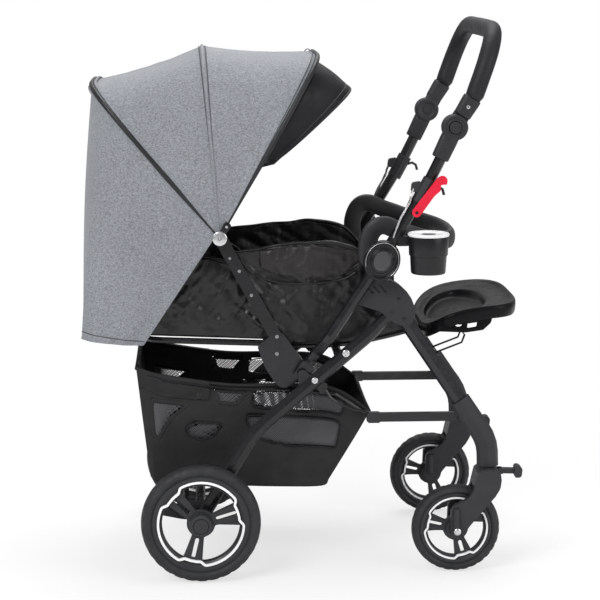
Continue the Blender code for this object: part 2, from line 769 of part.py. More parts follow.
def seat_tub(body):
    """The cloth tub that the child sits in: floor, two sides and a low front."""
    half = SEAT_OUTER_HALF - SEAT_WALL / 2
    floor, rim = SEAT_FLOOR_Z, SEAT_RIM_Z
    cloth = tub_shell([
        (-0.165, -0.040, floor, rim - 0.010, half - 0.004, half - 0.004),
        (-0.050, 0.000, floor, rim + 0.005, half - 0.004, half - 0.004),
        (0.040, 0.050, floor + 0.001, rim + 0.010, half - 0.004, half - 0.006),
        (0.105, 0.120, floor + 0.008, rim - 0.003, half - 0.004, half - 0.008),
        (0.150, 0.185, floor + 0.022, rim - 0.050, half - 0.005, half - 0.012),
        (SEAT_FRONT_X - 0.030, SEAT_FRONT_X, floor + 0.036, rim - 0.118, half - 0.008, half - 0.014)],
        SEAT_WALL, "seat_tub", close_front=False, close_rear=False)
    finish_piece(cloth, "seat_tub", "seat_cloth")
    put_on(body, cloth)


def back_tub(body):
    """The cloth tub behind the recline hinge, with a closed head end, on its tube frame."""
    half = BACK_OUTER_HALF - SEAT_WALL / 2 - BACK_SWELL
    floor = RECLINE_PIVOT[1] + BACK_FRAME_RADIUS + SEAT_WALL / 2 + 3 * GAP
    front = RECLINE_PIVOT[0] - BACK_EYE_RADIUS - SEAT_WALL / 2
    rear = front - BACK_LENGTH
    rows = []
    for share, wall_height in BACK_WALLS:
        x = blend(front, rear, share)
        rim = floor + BACK_RISE * share + wall_height
        rows.append((x - (0.02 if share == 0 else 0.0), x, floor + BACK_RISE * share, rim,
                     half, half - BACK_TAPER * (1 + share)))
    cloth = tub_shell(rows, SEAT_WALL, "back_tub", close_front=True, close_rear=False,
                      swelling=BACK_SWELL)
    finish_piece(cloth, "back_tub", "seat_cloth")
    frame_half = BACK_OUTER_HALF - 0.0155
    low = RECLINE_PIVOT[1]
    high = low + BACK_RISE
    corner_x = rear + 0.002
    start, level_end = Vector((RECLINE_PIVOT[0], -frame_half, low)), Vector((front, -frame_half, low))
    corner, middle = Vector((corner_x, -frame_half, high)), Vector((corner_x, 0, high))
    right = [start, level_end, *rounded_bend(level_end, corner, middle, 0.035)]
    path = right + [Vector((p[0], -p[1], p[2])) for p in reversed(right)]
    frame = tube(path, BACK_FRAME_RADIUS, 2)
    arms_reach = ARM_INNER - GAP
    for side, _ in SIDES:
        eye = cross_pin(RECLINE_PIVOT, frame_half - BACK_FRAME_RADIUS, arms_reach, side, BACK_EYE_RADIUS)
        join(frame, eye)
        cut(frame, cross_pin(RECLINE_PIVOT, frame_half + 0.004, arms_reach + 0.004, side,
                             0.0035 + RUN, 8))
    finish_piece(frame, "backrest_frame", "frame_black")
    put_on(body, cloth, frame)


# Arms and canopy

def arm(body, side, suffix):
    """Lower plate on the handle's pivot, and the flat arm up to the canopy."""
    centre_y = side * (ARM_INNER + ARM_THICKNESS / 2)
    top = CANOPY_PIVOT
    root = HANDLE_PIVOT + Vector((-0.029, 0.031))
    along = unit(top - root)
    across = Vector((-along[1], along[0])) * ARM_HEIGHT / 2
    bar_outline = [root - across, root + across, top + across - along * 0.004,
                   *arc(top, ARM_HEIGHT / 2, 200, 40, 5), top - across - along * 0.004]
    bar = plate([rounded(bar_outline, 0.003, 1)], centre_y, ARM_THICKNESS - 0.001)
    corner = HANDLE_PIVOT
    foot_outline = [corner + Vector(p) for p in (
        (-0.090, 0.055), (-0.050, 0.085), (-0.039, 0.082), (-0.006, 0.036), (0.012, 0.010),
        (0.010, -0.010), (-0.006, -0.014), (-0.026, -0.030), (-0.038, -0.033), (-0.052, -0.024),
        (-0.074, 0.010))]
    foot = plate([rounded(foot_outline, 0.005, 1)], centre_y, ARM_THICKNESS)
    face = ARM_INNER + ARM_THICKNESS
    cap_face = face + 3 * (EYE_THICKNESS + 0.001) + 0.0015
    stem = cross_pin(top, face - 0.004, cap_face + 0.003, side, PIN_RADIUS, 10)
    cap = cross_pin(top, cap_face, cap_face + 0.003, side, 0.0135, 14)
    hinge_pin = cross_pin(RECLINE_PIVOT, ARM_INNER - 0.0125, ARM_INNER + 0.004, side, 0.0035, 12)
    join(foot, bar, stem, cap, hinge_pin)
    cut(foot, cross_pin(HANDLE_PIVOT, ARM_INNER - 0.01, face + 0.01, side, PIN_RADIUS + RUN))
    finish_piece(foot, f"arm_{suffix}", "frame_black")
    put_on(body, foot)


BOW_SQUARENESS = 0.42
TOP_SPREADS = (0.0, 0.14, 0.28, 0.42, 0.55)
SIDE_REACHES = (0.66, 0.46, 0.26, 0.10)


def bow_spreads():
    """Places along half a bow: by angle over the top, by height down the side."""
    sides = [math.acos(share ** (1 / BOW_SQUARENESS)) * 2 / math.pi for share in SIDE_REACHES]
    return [*TOP_SPREADS, *sides]


def bow_point(angle, spread, reach, layer_half):
    """A point on a bow: spread 0 at the middle of the stroller and 1 at the pivot side."""
    half_angle = spread * math.pi / 2
    bulge = math.sin(half_angle) ** BOW_SQUARENESS
    rise = math.cos(half_angle) ** BOW_SQUARENESS
    flat = polar(CANOPY_PIVOT, reach * rise, angle)
    return Vector((flat[0], layer_half * bulge, flat[1]))


def mirrored_row(half_row):
    """From a row that starts at the middle plane, the whole row from right to left."""
    right = [Vector((p[0], -p[1], p[2])) for p in reversed(half_row[1:])]
    return right + [Vector(p) for p in half_row]


def bow(body, name, angle, layer, finish, reach=BOW_REACH):
    """A canopy bow: a wire hoop that ends in an eye on each canopy pivot."""
    eye_half = ARM_INNER + ARM_THICKNESS + 0.001 + EYE_THICKNESS / 2 + layer * (EYE_THICKNESS + 0.001)
    half_row = [bow_point(angle, spread, reach, eye_half) for spread in bow_spreads()]
    foot = polar(CANOPY_PIVOT, 0.008, angle)
    half_row.append(Vector((foot[0], eye_half, foot[1])))
    hoop = tube(mirrored_row(half_row), BOW_RADIUS, 1)
    for side, _ in SIDES:
        join(hoop, cross_pin(CANOPY_PIVOT, eye_half - EYE_THICKNESS / 2, eye_half + EYE_THICKNESS / 2,
                             side, 0.011, 10))
        cut(hoop, cross_pin(CANOPY_PIVOT, eye_half - 0.006, eye_half + 0.006, side,
                            PIN_RADIUS + 2 * RUN, 8))
    finish_piece(hoop, name, finish)
    put_on(body, hoop)


def canopy_half_row(angle, reach):
    out = BOW_RADIUS + CLOTH / 2 + 0.0022
    return [bow_point(angle, spread, reach + out, CANOPY_HALF - CLOTH / 2) for spread in bow_spreads()]


def drape_half_row(top_row, drop):
    """A row of the cloth behind the rear bow, between the bow and the hem."""
    row = []
    last = len(top_row) - 1
    first_side = len(TOP_SPREADS) - 2
    for i, top in enumerate(top_row):
        side_share = max(0.0, (i - first_side) / (last - first_side))
        hem = Vector((blend(HEM_REAR_X, HEM_FRONT_X, side_share ** 1.2),
                      min(top[1], blend(top[1], HEM_HALF, side_share)),
                      DRAPE_BOTTOM_Z + 0.010 * (1 - side_share) - 0.006 * (i / last)))
        fold = 0.006 * math.sin(drop * math.pi) * math.sin(i * 1.7)
        billow = 0.0085 * math.sin(drop * math.pi) * (1 - side_share)
        point = top.lerp(hem, drop)
        outwards = side_share if top[1] else 0.0
        row.append(point + Vector((-billow - fold * (1 - outwards), -abs(fold) * outwards * 0.5, 0)))
    return row


def canopy_cover(body):
    """The cloth over the three bows, straight from bow to bow, and the drape behind."""
    front = canopy_half_row(FRONT_BOW_ANGLE, BOW_REACH)
    middle = canopy_half_row(MIDDLE_BOW_ANGLE, MIDDLE_REACH)
    rear = canopy_half_row(REAR_BOW_ANGLE, REAR_REACH)
    rows = []
    for start, end, sag in ((front, middle, 0.004), (middle, rear, 0.006)):
        for step in range(4):
            share = step / 4
            rows.append([a.lerp(b, share) - Vector((0, 0, sag * math.sin(math.pi * share)))
                         for a, b in zip(start, end)])
    rows += [drape_half_row(rear, step / 6) for step in range(7)]
    cloth = skin([mirrored_row(row) for row in rows], CLOTH, "canopy_cover")
    finish_piece(cloth, "canopy_cover", "canopy_cloth")
    put_on(body, cloth)


def visor(body):
    """The stiff padded peak that stands out from the front bow."""
    rows = []
    for depth in (0.0, 0.35, 0.7, 1.0):
        row = []
        count = 8
        for i in range(count * 2 + 1):
            spread = (i - count) / count * VISOR_SPREAD
            p = bow_point(FRONT_BOW_ANGLE, abs(spread), BOW_REACH - 0.0076, CANOPY_HALF - 0.0186)
            out = VISOR_REACH * depth * math.cos(abs(spread) / VISOR_SPREAD * math.pi / 2) ** 0.5
            ahead = Vector((0.80, -0.60)) * (out + 0.0046)
            row.append((p[0] + ahead[0], math.copysign(p[1], spread) * (1 - 0.14 * depth), p[2] + ahead[1]))
        rows.append(row)
    peak = skin(rows, 0.004, "canopy_visor")
    finish_piece(peak, "canopy_visor", "visor_leather")
    put_on(body, peak)


# Front frame

BRACKET_OUTLINE = [(-0.058, 0.049), (-0.0715, 0.017), (-0.0200, 0.000), (-0.0100, -0.014),
                   (0.0080, -0.024), (0.026, -0.031), (0.036, -0.028), (0.044, -0.014), (0.048, 0.003),
                   (0.036, 0.033), (0.012, 0.056), (-0.010, 0.067)]


def front_bracket(body, side, suffix):
    """Two cheeks over the leg tops, joined along the front edge, with the fold pin."""
    outline = [FOLD_PIVOT + Vector(p) for p in BRACKET_OUTLINE]
    middle = side * (BRACKET_INNER + BRACKET_OUTER) / 2
    shell = plate([rounded(outline, 0.006, 1)], middle, BRACKET_OUTER - BRACKET_INNER)
    shell = soften(shell, 0.0015)
    wall = 0.0028
    pocket_outline = [FOLD_PIVOT + Vector(p) for p in (
        (-0.10, 0.003), (-0.020, 0.006), (-0.012, 0.017), (0.010, 0.017), (0.022, 0.009), (0.041, -0.004),
        (0.075, -0.050), (0.075, -0.080), (-0.10, -0.080))]
    pocket = plate([pocket_outline], middle, BRACKET_OUTER - BRACKET_INNER - 2 * wall)
    slots = []
    for i in range(3):
        centre = FOLD_PIVOT + Vector((-0.045 + 0.013 * i, 0.046 + 0.001 * i))
        slots.append(block((centre[0], side * BRACKET_OUTER, centre[1]), (0.020, 0.006, 0.004), 48))
    pin = cross_pin(FOLD_PIVOT, BRACKET_INNER + 0.001, BRACKET_OUTER - 0.001, side, PIN_RADIUS)
    cut(shell, pocket, *slots)
    boss_place = FRONT_LEG_TOP + unit(KNEE_TOP - FRONT_LEG_TOP) * 0.004
    leg_middle = front_leg_half(boss_place[1])
    bosses = [cross_pin(boss_place, BRACKET_INNER + 0.001, leg_middle - FRONT_LEG_WIDTH / 2 - GAP, side,
                        0.0045, 8),
              cross_pin(boss_place, leg_middle + FRONT_LEG_WIDTH / 2 + GAP, BRACKET_OUTER - 0.001, side,
                        0.0045, 8)]
    join(shell, pin, *bosses)
    finish_piece(shell, f"front_bracket_{suffix}", "plastic_dark")
    put_on(body, shell)


def front_leg_half(z):
    share = (FOLD_PIVOT[1] - z) / (FOLD_PIVOT[1] - KNEE_TOP[1])
    return blend(LEG_TOP_HALF, FRONT_TRACK_HALF, min(1.0, max(0.0, share)))


def front_leg(body, side, suffix):
    """Flat-oval leg from the bracket down into the caster housing."""
    along = unit(KNEE_TOP - FRONT_LEG_TOP)
    end = KNEE_TOP + along * 0.022
    count = 6
    path = [FRONT_LEG_TOP.lerp(end, i / count) for i in range(count + 1)]
    leg = flat_tube(path, FRONT_LEG_HEIGHT, FRONT_LEG_WIDTH, lambda x, z: side * front_leg_half(z))
    finish_piece(leg, f"front_leg_{suffix}", "frame_black")
    put_on(body, leg)


def caster_housing(body, side, suffix):
    """The cranked shell: a cuff round the leg, a knee, and the upright swivel barrel."""
    along = unit(KNEE_TOP - FRONT_LEG_TOP)
    down = Vector((SWIVEL_X, SWIVEL_TOP_Z))
    path = [KNEE_TOP - along * 0.010, KNEE_TOP + along * 0.02, KNEE_TOP + along * 0.045,
            *rounded_bend(KNEE_TOP, KNEE_BEND, down, 0.030), down]
    shell = flat_tube(path, 0.044, HOUSING_WIDTH, lambda x, z: side * FRONT_TRACK_HALF)
    socket_path = [KNEE_TOP - along * 0.03, KNEE_TOP + along * (0.022 + 0.001)]
    socket = flat_tube(socket_path, FRONT_LEG_HEIGHT + 2 * GAP + 0.0004, FRONT_LEG_WIDTH + 2 * GAP + 0.0004,
                       lambda x, z: side * front_leg_half(z))
    ear = cross_pin(LINK_PIVOT, LINK_HALF - LINK_WIDTH / 2 - 0.004, FRONT_TRACK_HALF - 0.002, side, 0.004, 12)
    ear_arm = plate([rounded([LINK_PIVOT + Vector((-0.008, 0.009)), LINK_PIVOT + Vector((-0.008, -0.009)),
                              LINK_PIVOT + Vector((0.030, -0.020)), LINK_PIVOT + Vector((0.030, 0.010))],
                             0.004, 1)], side * (LINK_HALF + LINK_WIDTH / 2 + 0.0045), 0.006)
    stem_bore = cylinder((SWIVEL_X, side * FRONT_TRACK_HALF, SWIVEL_TOP_Z), (0, 0, 1), 0.006 + RUN, 0.050, 12)
    join(shell, ear_arm, ear)
    cut(shell, socket, stem_bore)
    finish_piece(shell, f"caster_housing_{suffix}", "plastic_dark")
    put_on(body, shell)


def front_cross_tube(body):
    """The cross tube between the front legs that the wire prop stands on."""
    reach = front_leg_half(PROP_PIVOT[1] + CROSS_RADIUS) - FRONT_LEG_WIDTH / 2 - GAP
    cross = cylinder((PROP_PIVOT[0], 0, PROP_PIVOT[1]), (0, 1, 0), CROSS_RADIUS, reach * 2, 14)
    finish_piece(cross, "front_cross_tube", "frame_black")
    put_on(body, cross)


def fork(body, side, suffix):
    """Swivel fork: crown with its stem, two slanted blades, spring barrels and the axle."""
    middle = side * FRONT_TRACK_HALF
    axle = Vector((SWIVEL_X - CASTER_TRAIL, FRONT_WHEEL_RADIUS))
    crown_top = SWIVEL_TOP_Z - SIDE_GAP / 2
    width = 0.064
    outline = [Vector((SWIVEL_X - 0.022, crown_top)), Vector((SWIVEL_X + 0.022, crown_top)),
               Vector((SWIVEL_X + 0.026, crown_top - 0.030)), Vector((SWIVEL_X + 0.018, crown_top - 0.050)),
               axle + Vector((0.022, 0.006)), axle + Vector((0.010, -0.013)), axle + Vector((-0.010, -0.013)),
               axle + Vector((-0.014, 0.0)), axle + Vector((-0.012, 0.052)), axle + Vector((0.008, 0.058)),
               Vector((SWIVEL_X - 0.034, crown_top - 0.052))]
    shell = plate([rounded(outline, 0.008, 1)], middle, width)
    gap_width = FRONT_TYRE_WIDTH + 2 * SIDE_GAP
    room = cylinder((axle[0], middle, axle[1]), (0, 1, 0), FRONT_WHEEL_RADIUS + 0.007, gap_width, 24)
    lower = block((axle[0] - 0.03, middle, axle[1] - 0.02), (0.10, gap_width, 0.10))
    stem = cylinder((SWIVEL_X, middle, crown_top + 0.009), (0, 0, 1), 0.006, 0.024, 12)
    barrels = [cylinder((axle[0] - 0.002, middle + s * (width / 2 - 0.001), axle[1] + 0.026), (0, 0, 1),
                        0.0075, 0.042, 12) for s in (-1, 1)]
    pin = cylinder((axle[0], middle, axle[1]), (0, 1, 0), AXLE_RADIUS, width - 0.002, 12)
    bolt = cylinder((axle[0], middle + side * (width / 2), axle[1]), (0, 1, 0), 0.0065, 0.006, 12)
    lock = Vector((SWIVEL_X + LOCK_REACH, SWIVEL_TOP_Z - LOCK_DROP))
    ears = [plate([rounded([lock + Vector(p) for p in ((-0.010, 0.006), (0.005, 0.005), (0.005, -0.005),
                                                       (-0.010, -0.006))], 0.003, 1)],
                  middle + s * (LOCK_WIDTH / 2 + 0.0005 + 0.0015), 0.003) for s in (-1, 1)]
    lock_pin = cylinder((lock[0], middle, lock[1]), (0, 1, 0), LOCK_PIN_RADIUS, LOCK_WIDTH + 0.005, 8)
    cut(shell, room, lower)
    join(shell, stem, *barrels, pin, bolt, *ears, lock_pin)
    finish_piece(shell, f"swivel_fork_{suffix}", "plastic_dark")
    put_on(body, shell)


def swivel_lock(body, side, suffix, pivot):
    """The small lever at the front of the crown, with its pad."""
    middle = side * FRONT_TRACK_HALF
    start, end = Vector((pivot[0], pivot[2])), Vector((pivot[0], pivot[2])) + Vector((0.030, -0.001))
    arm_outline = [start + Vector((-0.004, 0.005)), start + Vector((-0.004, -0.005)),
                   end + Vector((0, -0.005)), end + Vector((0, 0.005))]
    lever = plate([rounded(arm_outline, 0.003, 1)], middle, LOCK_WIDTH)
    pad = plate([rounded([end + Vector((-0.004, -0.013)), end + Vector((0.010, -0.012)),
                          end + Vector((0.012, 0.006)), end + Vector((0.006, 0.012)),
                          end + Vector((-0.004, 0.012))], 0.005, 2)], middle, 0.024)
    join(pad, lever)
    cut(pad, cylinder((start[0], middle, start[1]), (0, 1, 0), LOCK_PIN_RADIUS + RUN, LOCK_WIDTH + 0.01, 8))
    finish_piece(pad, f"swivel_lock_{suffix}", "plastic_dark")
    put_on(body, pad)


def lower_link(body, side, suffix):
    """The flat bar from the front leg's ear back to the basket end, with a clevis tip."""
    length = 0.182
    y = side * LINK_HALF
    front = LINK_PIVOT
    rear = LINK_PIVOT - Vector((length, 0))
    half = LINK_HEIGHT / 2
    bar = plate([rounded([front + Vector((0.009, half)), rear + Vector((-0.008, half)),
                          rear + Vector((-0.008, -half)), front + Vector((0.009, -half))], 0.004, 2)],
                y, LINK_WIDTH)
    tip = plate([rounded([rear + Vector((0.018, half + 0.002)), rear + Vector((-0.011, half + 0.002)),
                          rear + Vector((-0.011, -half - 0.002)), rear + Vector((0.018, -half - 0.002))],
                         0.004, 1)], side * (LINK_HALF + 0.001), LINK_WIDTH + 0.001)
    join(bar, tip)
    cut(bar, cross_pin(front, LINK_HALF - 0.01, LINK_HALF + 0.01, side, 0.004 + RUN, 12))
    finish_piece(bar, f"lower_link_{suffix}", "frame_black")
    put_on(body, bar)


def link_stay(body, side, suffix):
    """The bent rod between the rear leg and the rear end of the lower link."""
    y = side * (LINK_HALF - LINK_WIDTH / 2 - STAY_RADIUS - 0.0035)
    start = STAY_PIVOT
    end = LINK_PIVOT - Vector((0.182, 0)) + Vector((0.0, 0.006))
    path = smooth_path([(start[0], y, start[1]), (start[0] + 0.016, y, start[1] - 0.026),
                        (start[0] + 0.050, y, start[1] - 0.044), (end[0] - 0.004, y, end[1])], 3)
    rod = tube(path, STAY_RADIUS, 1)
    eye = cross_pin(start, LINK_HALF - LINK_WIDTH / 2 - 2 * STAY_RADIUS - 0.0035, LINK_HALF - LINK_WIDTH / 2
                    - 0.0035, side, 0.007, 14)
    join(rod, eye)
    cut(rod, cross_pin(start, LINK_HALF - 0.03, LINK_HALF, side, 0.003 + RUN, 12))
    finish_piece(rod, f"link_stay_{suffix}", "frame_black")
    put_on(body, rod)


# Foot rest and bumper

def tray_rim(x):
    """Height of the tray's rim: steep behind the legs, nearly level in front."""
    return TRAY_REAR[1] + TRAY_RISE * (1 - math.exp(-max(0.0, x - TRAY_REAR[0]) / TRAY_RUN))


def tray_row(share, squareness, drop):
    """A closed row of points, an oval whose squareness is 1 for a round one."""
    half = (TRAY_FRONT_X - TRAY_REAR[0]) / 2
    row = []
    for i in range(TRAY_POINTS):
        turn = 2 * math.pi * i / TRAY_POINTS
        c, s = math.cos(turn), math.sin(turn)
        x = TRAY_REAR[0] + half + math.copysign(abs(c) ** squareness, c) * half * share[0]
        y = math.copysign(abs(s) ** squareness, s) * TRAY_HALF * share[1]
        row.append((x, y, tray_rim(x) - drop))
    return row


def foot_tray(body):
    """A moulded tray with an oval pool, a rolled skirt, and the ribs and rod under it."""
    rows = [tray_row((0.985, 0.985), 0.52, 0.026), tray_row((1.0, 1.0), 0.52, 0.005),
            tray_row((0.965, 0.975), 0.56, 0.0), tray_row((0.86, 0.84), 0.74, 0.001),
            tray_row((0.78, 0.78), 0.76, TRAY_DEPTH), tray_row((0.40, 0.40), 0.80, TRAY_DEPTH)]
    tray = skin(rows, TRAY_WALL, "foot_tray", closed_rows=True)
    bm = bmesh.new()
    bm.from_mesh(tray.data)
    bm.verts.ensure_lookup_table()
    last = (len(rows) - 1) * TRAY_POINTS
    for i in range(TRAY_POINTS // 2 - 1):
        quad = (i, i + 1, TRAY_POINTS - 2 - i, TRAY_POINTS - 1 - i)
        bm.faces.new([bm.verts[last + k] for k in quad])
    bmesh.ops.recalc_face_normals(bm, faces=bm.faces)
    bm.to_mesh(tray.data)
    bm.free()
    tray = bake(tray)
    reach = front_leg_half(TRAY_PIVOT[1] + TRAY_ROD_RADIUS) - FRONT_LEG_WIDTH / 2 - GAP
    rod = cylinder((TRAY_PIVOT[0], 0, TRAY_PIVOT[1]), (0, 1, 0), TRAY_ROD_RADIUS, reach * 2)
    under = [Vector((x, tray_rim(x) - TRAY_DEPTH)) for x in (0.275, 0.300, 0.340, 0.385, 0.412)]
    outline = [TRAY_PIVOT + Vector((-0.006, -0.005)), TRAY_PIVOT + Vector((-0.004, 0.008)), *under,
               Vector((0.402, 0.480)), Vector((0.386, 0.465)), Vector((0.350, 0.460)), Vector((0.262, 0.464))]
    hole = arc((0.334, 0.481), 0.009, 0, 315, 7)
    ribs = [plate([rounded(outline, 0.003, 1), hole], side * 0.045, 0.006) for side, _ in SIDES]
    bridge = block((0.386, 0, 0.478), (0.006, 0.094, 0.014), -35)
    join(tray, rod, *ribs, bridge)
    finish_piece(tray, "foot_tray", "plastic_gloss")
    put_on(body, tray)


def foot_prop(body):
    """The wire loop that stands on the front cross tube and holds the tray's ratchet."""
    x, z = PROP_PIVOT
    half = 0.030
    path = [(x + 0.0, -half, z + 0.0130), (x + 0.060, -half, z + 0.036), (x + 0.066, -half, z + 0.052),
            (x + 0.066, half, z + 0.052), (x + 0.060, half, z + 0.036), (x + 0.0, half, z + 0.0130)]
    wire = tube(path, 0.0022, 1)
    for side, _ in SIDES:
        clip_outline = arc(PROP_PIVOT, 0.0145, 0, 324, 9)
        clip_hole = arc(PROP_PIVOT, 0.009 + 4 * GAP, 0, 324, 9)
        join(wire, plate([clip_outline, clip_hole], side * half, 0.010))
    finish_piece(wire, "foot_prop", "steel")
    put_on(body, wire)


def band(points, outwards, height, thickness, steps=10):
    """A closed oval tube whose flat faces look along the given outward directions."""
    verts, faces = [], []
    for i, point in enumerate(points):
        ahead = (points[min(i + 1, len(points) - 1)] - points[max(i - 1, 0)]).normalized()
        out = (outwards[i] - ahead * outwards[i].dot(ahead)).normalized()
        up = ahead.cross(out)
        for k in range(steps):
            turn = 2 * math.pi * k / steps
            flat = math.copysign(abs(math.cos(turn)) ** 0.8, math.cos(turn))
            verts.append(point + out * flat * thickness / 2 + up * math.sin(turn) * height / 2)
    for i in range(len(points) - 1):
        for k in range(steps):
            n = (k + 1) % steps
            faces.append((i * steps + k, i * steps + n, (i + 1) * steps + n, (i + 1) * steps + k))
    last = (len(points) - 1) * steps
    faces += [tuple(range(steps)), tuple(last + k for k in range(steps))]
    mesh = bpy.data.meshes.new("band")
    mesh.from_pydata([tuple(v) for v in verts], [], faces)
    piece = bpy.data.objects.new("band", mesh)
    PARTS.objects.link(piece)
    return bake(piece)


def bumper(body):
    """The padded band in front of the child, its ends plugged beside the front brackets."""
    half = BRACKET_INNER - GAP - BUMPER_END_RADIUS
    plug = FOLD_PIVOT + Vector((-0.037, 0.043))
    side_path = [FOLD_PIVOT + Vector(p) for p in (
        (-0.046, 0.090), (-0.047, 0.130), (-0.036, 0.160), (-0.014, 0.170), (0.020, 0.157))]
    right = [Vector((x, -half, z)) for x, z in side_path]
    right += [Vector((blend(side_path[-1][0], BUMPER_FRONT[0], ahead), -half * share,
                      blend(side_path[-1][1], BUMPER_FRONT[1], ahead ** 0.7)))
              for ahead, share in ((0.42, 0.93), (0.80, 0.68), (0.97, 0.34))]
    front = Vector((BUMPER_FRONT[0], 0, BUMPER_FRONT[1]))
    points = smooth_path([*right, front, *[Vector((p[0], -p[1], p[2])) for p in reversed(right)]], 2)
    turn_x = FOLD_PIVOT[0]
    outwards = []
    for point in points:
        ahead = max(0.0, point[0] - turn_x) / (BUMPER_FRONT[0] - turn_x) ** 2
        outwards.append(Vector((ahead, point[1] / half ** 2, 0)).normalized())
    bar = band(points, outwards, BUMPER_HEIGHT, BUMPER_THICKNESS)
    for side, _ in SIDES:
        join(bar, tube([(plug[0], side * half, plug[1]), (side_path[0][0] + 0.001, side * half,
                                                         side_path[0][1] + 0.010)], BUMPER_END_RADIUS, 2))
    finish_piece(bar, "bumper_bar", "grip_foam")
    put_on(body, bar)


# Handle

def handle_half(x, z):
    """The handle tube steps outwards above its foot, past the rear leg."""
    reach = (Vector((x, z)) - HANDLE_PIVOT).length
    return blend(HANDLE_FOOT_HALF, HANDLE_TUBE_HALF, ease((reach - 0.034) / 0.064))


JOINT_DROP = 0.068
JOINT_FACE = HANDLE_TUBE_HALF + HANDLE_TUBE_WIDTH / 2 + 0.0065
LOWER_MIDDLE = Vector((0.2426, 0.7937))


def lower_handle_path():
    low_along = unit(HUB_CENTRE - HANDLE_PIVOT)
    start = HANDLE_PIVOT - low_along * 0.004
    end = HEIGHT_JOINT - unit(HEIGHT_JOINT - LOWER_MIDDLE) * 0.030
    near = [start, *[HANDLE_PIVOT + low_along * d for d in (0.034, 0.05, 0.066, 0.082, 0.098)]]
    bend = smooth_path([(HUB_CENTRE[0], 0, HUB_CENTRE[1]), (LOWER_MIDDLE[0], 0, LOWER_MIDDLE[1]),
                        (end[0], 0, end[1])], 2)
    return near + [Vector((p[0], p[2])) for p in bend]


def handle_tube(body, side, suffix):
    """The lower handle tube, with the cuff and eye at its foot."""
    leg = flat_tube(lower_handle_path(), HANDLE_TUBE_HEIGHT, HANDLE_TUBE_WIDTH,
                    lambda x, z: side * handle_half(x, z), 2)
    along = unit(HUB_CENTRE - HANDLE_PIVOT)
    across = Vector((-along[1], along[0])) * 0.0145
    cuff = plate([rounded([HANDLE_PIVOT - along * 0.013 - across, HANDLE_PIVOT + along * 0.026 - across,
                           HANDLE_PIVOT + along * 0.026 + across, HANDLE_PIVOT - along * 0.013 + across],
                          0.006, 2)], side * HANDLE_FOOT_HALF, HANDLE_TUBE_WIDTH + 0.001)
    join(leg, cuff)
    if side < 0:
        join(leg, cross_pin(HOOK_PIVOT, HANDLE_TUBE_HALF, HOOK_INNER - GAP, side, 0.0065, 10),
             cross_pin(HOOK_PIVOT, HANDLE_TUBE_HALF, HOOK_INNER + HOOK_THICKNESS + 0.001, side,
                       HOOK_PIN_RADIUS, 8))
    cut(leg, cross_pin(HANDLE_PIVOT, HANDLE_FOOT_HALF - 0.02, HANDLE_FOOT_HALF + 0.02, side,
                       PIN_RADIUS + RUN))
    finish_piece(leg, f"handle_tube_{suffix}", "frame_black")
    put_on(body, leg)


HUB_FACE = HANDLE_TUBE_HALF + HANDLE_TUBE_WIDTH / 2 + GAP


def latch_hub(body, side, suffix):
    """The oval latch cover on the tube, with a stepped rim and a raised middle."""
    depth = 0.015
    tilt = math.radians(20)

    def oval(across, along, count=14):
        points = []
        for i in range(count):
            turn = 2 * math.pi * i / count
            u, v = across * math.cos(turn), along * math.sin(turn)
            points.append(HUB_CENTRE + Vector((u * math.cos(tilt) - v * math.sin(tilt) * -1,
                                               -u * math.sin(tilt) + v * math.cos(tilt))))
        return points

    shell = plate([oval(0.036, 0.041)], side * (HUB_FACE + depth / 2), depth)
    shell = soften(shell, 0.004)
    groove = plate([oval(0.029, 0.034), oval(0.0195, 0.0245)], side * (HUB_FACE + depth), 0.004)
    cut(shell, groove)
    finish_piece(shell, f"latch_hub_{suffix}", "plastic_gloss")
    put_on(body, shell)


def height_joint(body, side, suffix):
    """The lower half of the height joint: a cuff on the tube and the outer disc."""
    along = unit(HEIGHT_JOINT - LOWER_MIDDLE)
    across = Vector((-along[1], along[0]))
    cuff_start, cuff_end = HEIGHT_JOINT - along * JOINT_DROP, HEIGHT_JOINT - along * 0.0285
    width = HANDLE_TUBE_WIDTH + 0.007
    cuff = plate([rounded([cuff_start - across * 0.0155, cuff_end - across * 0.0145,
                           cuff_end + across * 0.0145, cuff_start + across * 0.0155], 0.003, 1)],
                 side * HANDLE_TUBE_HALF, width)
    outer_inner = HANDLE_TUBE_HALF + 0.0005
    outer_face = JOINT_FACE
    disc = cross_pin(HEIGHT_JOINT, outer_inner, outer_face, side, JOINT_RADIUS, 16)
    neck = plate([rounded([cuff_end - across * 0.0145 - along * 0.004, HEIGHT_JOINT - across * 0.0235,
                           HEIGHT_JOINT + across * 0.0235, cuff_end + across * 0.0145 - along * 0.004],
                          0.002, 1)], side * (outer_inner + HANDLE_TUBE_HALF + width / 2) / 2,
                 HANDLE_TUBE_HALF + width / 2 - outer_inner)
    path = lower_handle_path()
    bore = flat_tube([path[-1] + (path[-1] - path[-2]) * 0.02, *reversed(path[-6:-1])],
                     HANDLE_TUBE_HEIGHT + 4 * GAP, HANDLE_TUBE_WIDTH + 4 * GAP,
                     lambda x, z: side * HANDLE_TUBE_HALF, 2)
    well = cross_pin(HEIGHT_JOINT, outer_face - 0.0065, outer_face + 0.01, side, BUTTON_RADIUS + 2 * GAP, 14)
    join(cuff, neck, disc)
    cut(cuff, bore, well)
    finish_piece(cuff, f"height_joint_{suffix}", "plastic_dark")
    put_on(body, cuff)


def joint_button(body, side, suffix):
    """The round push button of the height joint, standing proud of the disc."""
    inner = JOINT_FACE - 0.0065 + BUTTON_TRAVEL + 2 * GAP
    button = cross_pin(HEIGHT_JOINT, inner, JOINT_FACE + 0.005, side, BUTTON_RADIUS, 14)
    finish_piece(button, f"joint_button_{suffix}", "plastic_dark")
    put_on(body, button)


